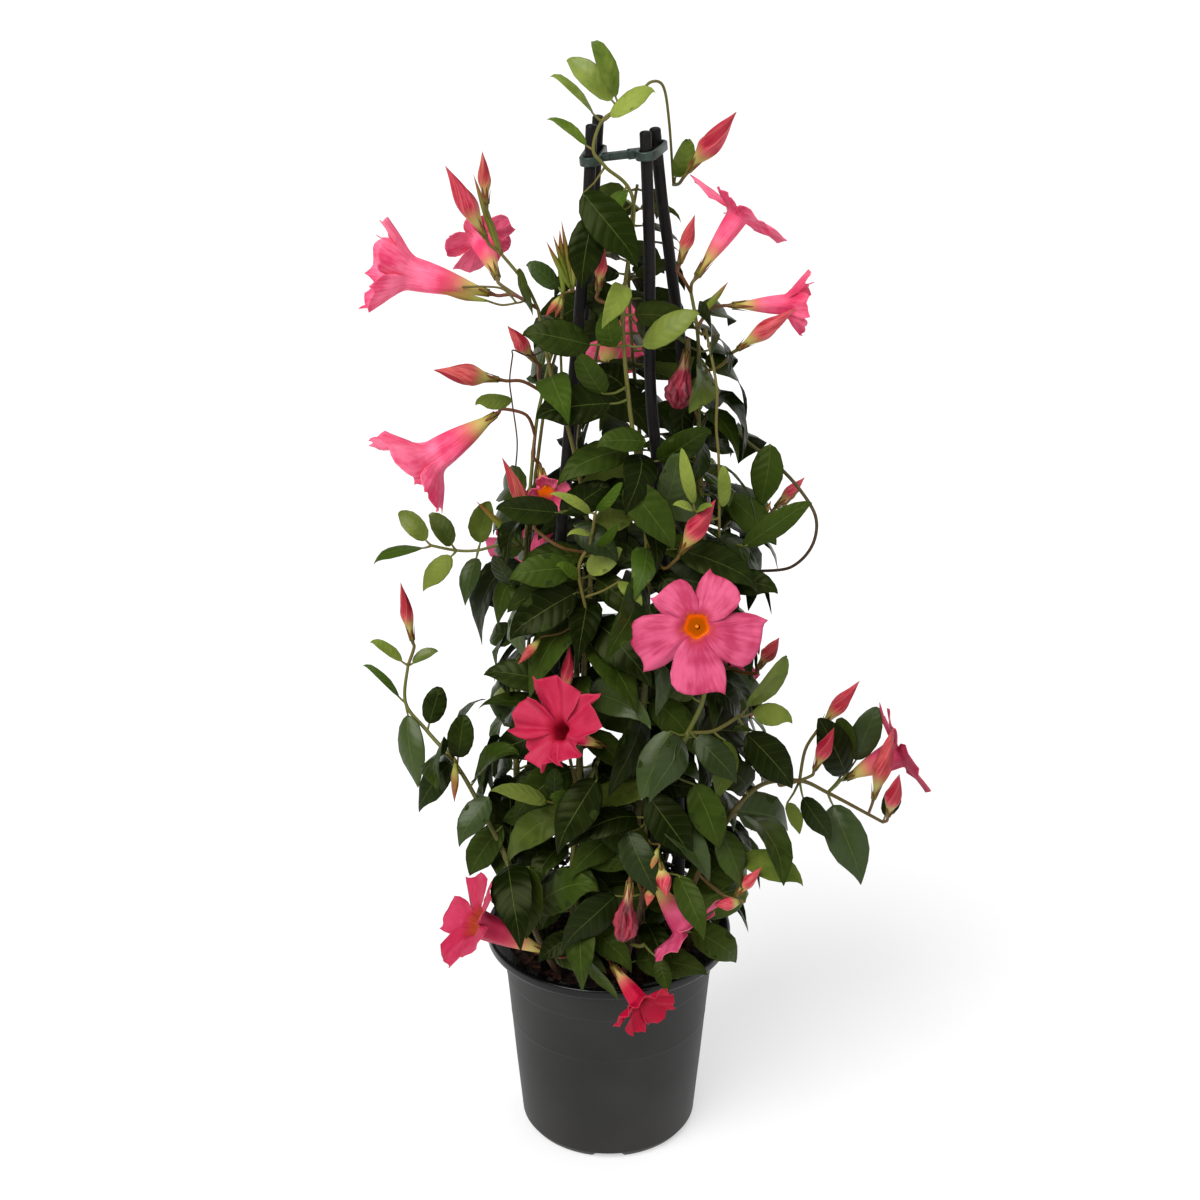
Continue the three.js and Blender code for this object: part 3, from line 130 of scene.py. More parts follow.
def carried_sides(line):
    """A side vector at each point, carried along the line so that it never spins."""
    tangents = unit(np.gradient(line, axis=0))
    side = np.array([1, 0.02, 0.013])
    sides = []
    for tangent in tangents:
        side = unit(side - tangent * side.dot(tangent))
        sides.append(side)
    return tangents, np.array(sides)


print("a straight spline stays straight:", spline([(0, 0, 0), (0, 0, 9)], 3)[:, 2])

# %% [markdown]
# ## One kind of mesh for every piece
# A stem, a leaf, a bud, a sepal and the pot all have the same build: rings of points, each
# joined to the next, with a pole at both ends. So one small class gathers such shells, and
# writes them into a mesh as whole arrays. A leaf is a very flat ring: it runs over the upper
# side and back along the lower one, so the shell is closed and has a real edge.
#
# The UV map says where a point is on its piece: u runs round the ring, v along it. A colour
# attribute called tint holds what a material needs to know about the piece it paints.

# %% Shells
MM = 0.001


def show(name, data):
    """Puts a mesh, lamp or camera into the scene as an object."""
    thing = bpy.data.objects.new(name, data)
    bpy.context.scene.collection.objects.link(thing)
    return thing


def cells(grid):
    """The four corners of each cell of a grid, in order round the cell."""
    return np.stack([grid[:-1, :-1], grid[:-1, 1:], grid[1:, 1:], grid[1:, :-1]], 2)


def cell_uvs(u, v):
    """The UV pairs at the corners of each cell of a grid with these columns and rows."""
    return cells(np.stack(np.meshgrid(u, v), -1)).reshape(-1, 4, 2)


def spokes(angle, first, second):
    """Directions at the given angles between two that stand square to each other."""
    return np.cos(angle)[..., None] * first + np.sin(angle)[..., None] * second


class Shells:
    """Gathers closed surfaces, and makes them one Blender object."""

    def __init__(self):
        self.points, self.corners, self.sizes, self.uvs, self.tints, self.slots = [], [], [], [], [], []
        self.count = 0

    def add(self, points, faces, uvs, tint, slot):
        """faces index points, and uvs has a pair for every corner of every face."""
        self.points.append(points)
        self.corners.append((faces + self.count).ravel())
        self.sizes.append(np.full(len(faces), faces.shape[1]))
        self.uvs.append(uvs.reshape(-1, 2))
        self.tints.append(np.broadcast_to(tint, (len(points), 4)) if len(points) else np.zeros((0, 4)))
        self.slots.append(np.full(len(faces), slot))
        self.count += len(points)

    def tube(self, rings, tint=(0, 0, 0, 1), slot=0, turns=1.0, flip=False, heights=None):
        """rings[i, j] is point j of ring i. A quad joins each pair of neighbours on two
        rings, and a fan of triangles closes each end round the ring's middle."""
        rows, cols = rings.shape[:2]
        heights = np.linspace(0, 1, rows) if heights is None else heights
        tint = np.asarray(tint, float)
        if tint.ndim == 2:
            tint = np.vstack([np.repeat(tint, cols, axis=0), tint[:1], tint[-1:]])
        points = np.vstack([rings.reshape(-1, 3), rings[:1].mean(1), rings[-1:].mean(1)])
        index = np.arange(rows * cols).reshape(rows, cols)
        faces = cells(np.hstack([index, index[:, :1]])).reshape(-1, 4)
        uvs = cell_uvs(np.arange(cols + 1) / cols * turns, heights)
        start = self.count
        if flip:
            faces, uvs = faces[:, ::-1], uvs[:, ::-1]
        self.add(points, faces, uvs, tint, slot)
        ring = np.arange(cols)
        for pole, row, turned in ((0, 0, True), (1, rows - 1, False)):
            centre = np.full(cols, rows * cols + pole)
            fan = np.stack([centre, row * cols + ring, row * cols + (ring + 1) % cols], 1)
            u = np.stack([ring + 0.5, ring, ring + 1], 1) / cols * turns
            if turned != flip:
                fan, u = fan[:, [0, 2, 1]], u[:, [0, 2, 1]]
            uvs = np.stack([u, np.full_like(u, heights[row])], -1)
            self.add(np.zeros((0, 3)), fan + start - self.count, uvs, tint, slot)

    def loop(self, rings, tint=(0, 0, 0, 1), slot=0):
        """Like tube, but the last ring joins the first, so there are no ends."""
        rows, cols = rings.shape[:2]
        index = np.pad(np.arange(rows * cols).reshape(rows, cols), ((0, 1), (0, 1)), mode="wrap")
        uvs = cell_uvs(np.arange(cols + 1) / cols, np.arange(rows + 1) / rows)
        self.add(rings.reshape(-1, 3), cells(index).reshape(-1, 4), uvs, tint, slot)

    def mesh(self, name):
        """Writes the gathered arrays into a mesh, in metres."""
        mesh = bpy.data.meshes.new(name)
        points = np.vstack(self.points) * MM
        corners, sizes = np.concatenate(self.corners), np.concatenate(self.sizes)
        mesh.vertices.add(len(points))
        mesh.vertices.foreach_set("co", points.ravel())
        mesh.loops.add(len(corners))
        mesh.loops.foreach_set("vertex_index", corners)
        mesh.polygons.add(len(sizes))
        mesh.polygons.foreach_set("loop_start", np.cumsum(sizes) - sizes)
        mesh.polygons.foreach_set("loop_total", sizes)
        mesh.polygons.foreach_set("material_index", np.concatenate(self.slots))
        mesh.polygons.foreach_set("use_smooth", np.ones(len(sizes), bool))
        mesh.uv_layers.new(name="UVMap").data.foreach_set("uv", np.vstack(self.uvs).ravel())
        tint = mesh.color_attributes.new(name="tint", type="FLOAT_COLOR", domain="POINT")
        tint.data.foreach_set("color", np.vstack(self.tints).ravel())
        mesh.update(calc_edges=True)
        return mesh

    def make(self, name, looks, replaced=()):
        """Makes one piece, and puts it in the place of its CAD nodes."""
        mesh = self.mesh(name)
        for look in looks:
            mesh.materials.append(look)
        piece = show(name, mesh)
        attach(piece, "root")
        if replaced:
            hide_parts(*replaced)
        return piece


def triangles(piece):
    """A face of n corners is n - 2 triangles."""
    return sum(len(face.vertices) - 2 for face in piece.data.polygons)


def pipe(line, radii, sides):
    """Rings round a line: the ring's plane stands across the line's direction."""
    tangents, side = carried_sides(line)
    other = np.cross(tangents, side)
    angle = np.arange(sides) * 2 * np.pi / sides
    radii = np.broadcast_to(radii, len(line))
    return line[:, None] + spokes(angle[None], side[:, None], other[:, None]) * radii[:, None, None]


print("shells ready")

# %% [markdown]
# ## Materials written as sums
# A procedural material is arithmetic on positions. Wrapping a node's output socket in a small
# class lets that arithmetic be written as plain Python: an expression adds its Math nodes.
# All other nodes come from one method, which takes the node's type, settings and sockets.

# %% Shader expressions
class Value:
    """A number that varies over a surface."""

    def __init__(self, look, socket):
        self.look, self.socket = look, socket

    def math(self, operation, *others):
        sockets = dict(enumerate((self, *others)))
        return self.look.node("ShaderNodeMath", {"operation": operation}, sockets)

    def __add__(self, other):
        return self.math("ADD", other)

    def __mul__(self, other):
        return self.math("MULTIPLY", other)

    def __sub__(self, other):
        return self.math("SUBTRACT", other)

    def __rsub__(self, other):
        return (self * -1.0) + other

    def __gt__(self, other):
        return self.math("GREATER_THAN", other)

    __radd__, __rmul__ = __add__, __mul__

    def between(self, low, high):
        """0 below low, 1 above high, and an S-curve between them."""
        sockets = {"Value": self, "From Min": low, "From Max": high}
        return self.look.node("ShaderNodeMapRange", {"interpolation_type": "SMOOTHSTEP"}, sockets)


class Look:
    """One material: a Principled shader and what feeds it."""

    def __init__(self, name, **fixed):
        self.material = bpy.data.materials.new(name)
        self.material.use_nodes = True
        self.tree = self.material.node_tree
        self.shader = self.tree.nodes["Principled BSDF"]
        for socket, value in fixed.items():
            self.shader.inputs[socket.replace("_", " ")].default_value = value

    def node(self, kind, settings=None, sockets=None, output=0):
        node = self.tree.nodes.new(kind)
        for name, value in (settings or {}).items():
            setattr(node, name, value)
        for name, value in (sockets or {}).items():
            self.feed(node.inputs[name], value)
        return Value(self, node.outputs[output])

    def feed(self, socket, value):
        if isinstance(value, Value):
            self.tree.links.new(value.socket, socket)
        else:
            socket.default_value = value

    def paint(self, **fed):
        for name, value in fed.items():
            self.feed(self.shader.inputs[name.replace("_", " ")], value)
        return self.material

    def place(self):
        return self.node("ShaderNodeTexCoord", output=3)

    def parts(self, vector):
        sockets = {0: vector}
        return [self.node("ShaderNodeSeparateXYZ", sockets=sockets, output=axis) for axis in range(3)]

    def uv(self):
        return self.parts(self.node("ShaderNodeUVMap", {"uv_map": "UVMap"}))[:2]

    def tint(self):
        colour = self.node("ShaderNodeAttribute", {"attribute_name": "tint"})
        return [self.node("ShaderNodeSeparateColor", sockets={0: colour}, output=k) for k in range(3)]

    def noise(self, vector, scale, detail=2.0):
        return self.node("ShaderNodeTexNoise", sockets={"Vector": vector, "Scale": scale, "Detail": detail})

    def stretched(self, vector, *scales):
        sockets = {0: vector, 1: scales}
        return self.node("ShaderNodeVectorMath", {"operation": "MULTIPLY"}, sockets)

    def mix(self, factor, a, b):
        return self.node("ShaderNodeMix", {"data_type": "RGBA"}, {0: factor, 6: a, 7: b}, output=2)

    def over(self, below, *layers):
        """Each layer is a mask and the colour that it lays over what is below."""
        for mask, colour in layers:
            below = self.mix(mask, below, colour)
        return below

    def bump(self, height, strength, distance):
        sockets = {"Height": height, "Strength": strength, "Distance": distance * MM}
        return self.node("ShaderNodeBump", sockets=sockets)


def rgb(red, green, blue):
    """A colour from its 0 to 255 screen values, as linear light."""
    c = np.array([red, green, blue]) / 255
    linear = np.where(c <= 0.04045, c / 12.92, ((c + 0.055) / 1.055) ** 2.4)
    return (*linear, 1.0)


print("a mid grey in linear light:", round(rgb(128, 128, 128)[0], 3))

# %% [markdown]
# ## The leaf's finish
# A mandevilla leaf is leathery and glossy above, dull and paler below. A light midrib runs up
# its middle, side veins bend off it towards the margin and sink a little, so the blade
# swells between them. Young leaves are yellow-green. The pattern follows the UV map: u from 0
# to 1 is the upper side, from 1 to 2 the lower, and tint gives youth, a chance shade and a
# waxy share, which adds a clear coat and greys the upper side as a painted sheen.

# %% Leaf material
def leaf_look():
    look = Look("leaf_green", Specular_IOR_Level=0.11, Specular_Tint=(0.8, 0.9, 0.4, 1), Coat_Roughness=0.3)
    u, v = look.uv()
    youth, chance, wax_and_painted_sheen = look.tint()
    place = look.place()
    under = u > 1.0
    across = (u - under) * 2.0 - 1.0
    off_rib = across.math("ABSOLUTE")
    lane = (v * 7.5 - off_rib * 1.7 + chance * 3.0).math("FRACT")
    from_vein = (lane - 0.5).math("ABSOLUTE")
    vein = 1.0 - from_vein.between(0.015, 0.09)
    rib = 1.0 - off_rib.between(0.006, 0.022)
    margin = off_rib.between(0.965, 0.995)
    mottle = look.noise(place, 90.0, 3.0)
    shade = (mottle * 0.6 + chance - 0.3).between(0.2, 1.0)
    young = look.mix(shade, rgb(60, 84, 18), rgb(130, 142, 62))
    # The grey-green laid over waxed leaves is a painted sheen. Their clear coat gives the real gloss.
    top = look.over(
        rgb(4, 9, 0), (shade, rgb(36, 52, 9)), (wax_and_painted_sheen, rgb(50, 64, 32)), (youth, young),
        (vein * 0.06, rgb(88, 104, 44)), (rib * (0.3 + youth * 0.2), rgb(104, 118, 56)),
        (margin * 0.15, rgb(94, 106, 48)))
    below = look.over(
        rgb(26, 38, 10), (youth, rgb(92, 106, 44)), (rib * 0.35 + vein * 0.08, rgb(106, 118, 58)))
    pillow = from_vein.between(0.0, 0.45) * (1.0 - rib) + rib * -0.5 + mottle * 0.2
    return look.paint(
        Base_Color=look.mix(under, top, below),
        Roughness=0.33 + under * 0.25 + mottle * 0.1,
        Coat_Weight=wax_and_painted_sheen * (1.0 - under) * 0.4,
        Normal=look.bump(pillow, 0.35, 0.5),
    )


# %% [markdown]
# ## Stems
# Old stems are brown wood with small pale pores. Towards the tips they are green, often
# reddish where the sun reaches them. tint's first number is the share of wood, its second the
# share of red.

# %% Stem material
def stem_look():
    look = Look("stem_skin", Specular_IOR_Level=0.35)
    wood, red = look.tint()[:2]
    place = look.place()
    grain = look.noise(look.stretched(place, 900.0, 900.0, 120.0), 1.0, 3.0)
    pores = look.noise(place, 700.0, 1.0).between(0.62, 0.7)
    green = look.over(rgb(68, 78, 20), (grain, rgb(108, 112, 44)), (red, rgb(100, 42, 22)))
    brown = look.over(rgb(36, 21, 13), (grain, rgb(76, 51, 33)), (pores * 0.5, rgb(124, 98, 68)))
    return look.paint(
        Base_Color=look.mix(wood, green, brown),
        Roughness=0.5 + wood * 0.25,
        Normal=look.bump(grain + pores * 0.6, 0.4, 0.3),
    )


# %% [markdown]
# ## Petals
# The corolla is hot pink, deeper in soft patches and along fine veins that run outwards, and
# paler towards the tube, which turns cream and yellow-green where it leaves the calyx. Inside
# the throat is orange-yellow with a deep ring round it. Light shines through such thin sheets,
# which a little emission stands for: in the petals' own colour, darkened, and in orange inside
# the throat. v runs from the calyx, 0, over the throat's rim, 0.5, to the lobes' tips, 1. u is
# below 10 on the outer side, above it on the inner one, and above 20 on the cut edge.

# %% Petal material
def petal_look():
    look = Look("petal_pink", Specular_IOR_Level=0.15, Emission_Strength=0.5)
    u, v = look.uv()
    deep, chance, light = look.tint()
    place = look.place()
    inside = u > 9.0
    fan = look.node("ShaderNodeCombineXYZ", sockets={0: u * 9.0, 1: v * 2.2, 2: chance * 7.0})
    streak = look.noise(fan, 2.4, 2.0)
    veins = look.noise(look.stretched(fan, 3.4, 0.5, 1.0), 2.6, 2.0).between(0.5, 0.8)
    cloud = look.noise(place, 60.0, 2.0)
    patch = (streak * 0.35 + cloud * 0.65).between(0.36, 0.64)
    upper_bloom_pink = look.mix(patch, rgb(210, 56, 96), rgb(238, 112, 144))
    pink = look.over(
        rgb(158, 42, 76), (patch, rgb(190, 78, 112)), (light, upper_bloom_pink), (deep, rgb(162, 6, 44)),
        (veins * 0.15, rgb(142, 20, 48)))
    ring = v.between(0.4, 0.5) * (1.0 - v.between(0.53, 0.66))
    inner = look.mix(ring * (0.3 + streak * 0.6 + deep * 0.3), pink, rgb(146, 8, 36))
    throat = look.mix((v + streak * 0.2).between(0.3, 0.5), rgb(150, 92, 4), rgb(222, 122, 8))
    throat = look.mix(deep.between(0.5, 0.7), throat, rgb(120, 4, 22))
    in_throat = inside * (1.0 - (v + streak * 0.1).between(0.38, 0.6)) * (1.0 - deep.between(0.3, 0.6))
    inner = look.mix(1.0 - (v + streak * 0.1).between(0.42, 0.62), inner, throat)
    outer = look.over(
        pink, (1.0 - (v + streak * 0.08).between(0.18, 0.4), rgb(190, 98, 86)),
        (1.0 - (v + streak * 0.06).between(0.12, 0.28), rgb(182, 164, 92)),
        (1.0 - v.between(0.0, 0.13), rgb(132, 128, 38)))
    colour = look.mix(inside, outer, inner)
    colour = look.mix((u > 19.0) * (0.4 - deep * 0.3), colour, rgb(200, 120, 126))
    glow = look.mix(0.76, colour, (0, 0, 0, 1))
    return look.paint(
        Base_Color=colour,
        Emission_Color=look.mix(in_throat, glow, rgb(204, 104, 6)),
        Roughness=0.55,
        Normal=look.bump(streak + veins * 0.5, 0.3, 0.4),
    )


# %% [markdown]
# ## Buds and sepals
# A bud is five petals rolled round each other. The free edge of each is paler, and winds
# up the bud as a ridge. The foot is yellow-green. The narrow sepals that hold it are
# red-brown. Wilted corollas shrink to dark red folds on a straw-coloured tube.

# %% Bud, sepal and wilted materials
def bud_look():
    look = Look("bud_pink", Specular_IOR_Level=0.2)
    u, v = look.uv()
    green, chance, warm = look.tint()
    edge = 1.0 - (u * 5.0).math("FRACT").between(0.04, 0.34)
    blotch = look.noise(look.place(), 160.0, 2.0)
    lengthwise = look.node("ShaderNodeCombineXYZ", sockets={0: u * 14.0, 1: v * 1.6, 2: chance})
    streak = look.noise(lengthwise, 2.2, 2.0)
    petal = look.node("ShaderNodeCombineXYZ", sockets={0: (u * 5.0).math("FLOOR") * 3.7, 1: warm * 9.0})
    inner_petal = look.noise(petal, 1.0, 0.0).between(0.46, 0.54) * v.between(0.4, 0.55)
    salmon = look.mix(streak.between(0.3, 0.7), rgb(150, 58, 40), rgb(190, 108, 84))
    pink = look.over(
        rgb(154, 22, 46), (streak.between(0.35, 0.65), rgb(202, 68, 88)),
        (blotch.between(0.45, 0.75) * 0.4, rgb(190, 84, 88)), (warm, salmon),
        (inner_petal * 0.75, rgb(142, 12, 36)), (edge * 0.22, rgb(196, 116, 102)))
    foot = look.mix(v.between(0.0, 0.2), rgb(114, 112, 32), rgb(174, 162, 88))
    body = look.mix((v + streak * 0.1).between(0.22, 0.5), foot, pink)
    tip = look.mix(v.between(0.9, 1.0) * 0.5, body, rgb(128, 70, 36))
    young = look.mix((v + streak * 0.3).between(0.6, 1.2), rgb(104, 116, 34), rgb(138, 66, 34))
    return look.paint(
        Base_Color=look.mix(green, tip, young),
        Roughness=0.45,
        Normal=look.bump(edge + blotch * 0.3, 0.3, 0.4),
    )


def sepal_look():
    look = Look("sepal_brown", Specular_IOR_Level=0.3)
    v = look.uv()[1]
    blotch = look.noise(look.place(), 300.0, 2.0)
    base = look.mix(blotch, rgb(94, 84, 30), rgb(124, 104, 44))
    tip = look.mix(blotch, rgb(92, 30, 16), rgb(134, 62, 32))
    return look.paint(Base_Color=look.mix(v.between(0.1, 0.6), base, tip), Roughness=0.5)


def wilted_look():
    look = Look("petal_shrivelled")
    v = look.uv()[1]
    fold = look.noise(look.stretched(look.place(), 160.0, 160.0, 40.0), 1.0, 3.0)
    dark = look.mix(fold.between(0.3, 0.7), rgb(82, 6, 20), rgb(148, 28, 52))
    straw = look.mix(fold, rgb(150, 124, 76), rgb(184, 160, 112))
    return look.paint(
        Base_Color=look.mix((v + fold * 0.2).between(0.26, 0.46), straw, dark),
        Roughness=0.6,
        Normal=look.bump(fold, 0.6, 1.0),
    )


def anther_look():
    # The anthers glow a little in yellow-orange: painted light that lifts them out of the shade deep in the
    # throat.
    look = Look(
        "anthers_pale", Base_Color=rgb(238, 214, 120), Roughness=0.6,
        Emission_Color=rgb(224, 160, 40), Emission_Strength=0.4)
    return look.paint(Normal=look.bump(look.noise(look.place(), 900.0), 0.3, 0.2))


LEAF, STEM, PETAL, BUD, SEPAL, WITHERED, ANTHERS = (
    leaf_look(), stem_look(), petal_look(), bud_look(), sepal_look(), wilted_look(), anther_look())
print("plant materials:", [look.name for look in (LEAF, STEM, PETAL, BUD, SEPAL, WITHERED, ANTHERS)])

# %% [markdown]
# ## The plant, one by one
# Real stems wander, so their courses are listed, the same as those the fixed frame
# was built from. A stem has its centre line from the ground up, its radii at the ground and
# at the tip, and the rule for its opposite pairs of leaves: where the first pair stands, how
# far the next one is, and how much of the tip stays bare. Leaves that show most are placed
# one by one, by their tip, width and the way their face looks.

# %% Small records
def shoot(root, route, radius, pairs=None):
    return dict(root=root, route=route, radius=radius, pairs=pairs)


def leaf(tip, width, face, base=None, root=None):
    return dict(tip=tip, width=width, face=face, base=base, root=root)


def climber(stem, radius, pairs, shoots=(), leaves=(), green_buds=()):
    """A stem and what it carries. Each row of leaves is a leaf's tip, width and the way it
    faces, then its base and root where they are chosen."""
    leaves = [leaf(*row) for row in leaves]
    return dict(stem=stem, radius=radius, pairs=pairs, shoots=shoots, leaves=leaves, green_buds=green_buds)


def bloom(vine, root, via, at, toward, spread, opening, turn):
    return dict(vine=vine, root=root, via=via, at=at, tip=toward, spread=spread, open=opening, turn=turn)


def bud(vine, root, via, at, tip, radius):
    return dict(vine=vine, root=root, via=via, at=at, tip=tip, radius=radius)


print("records ready")

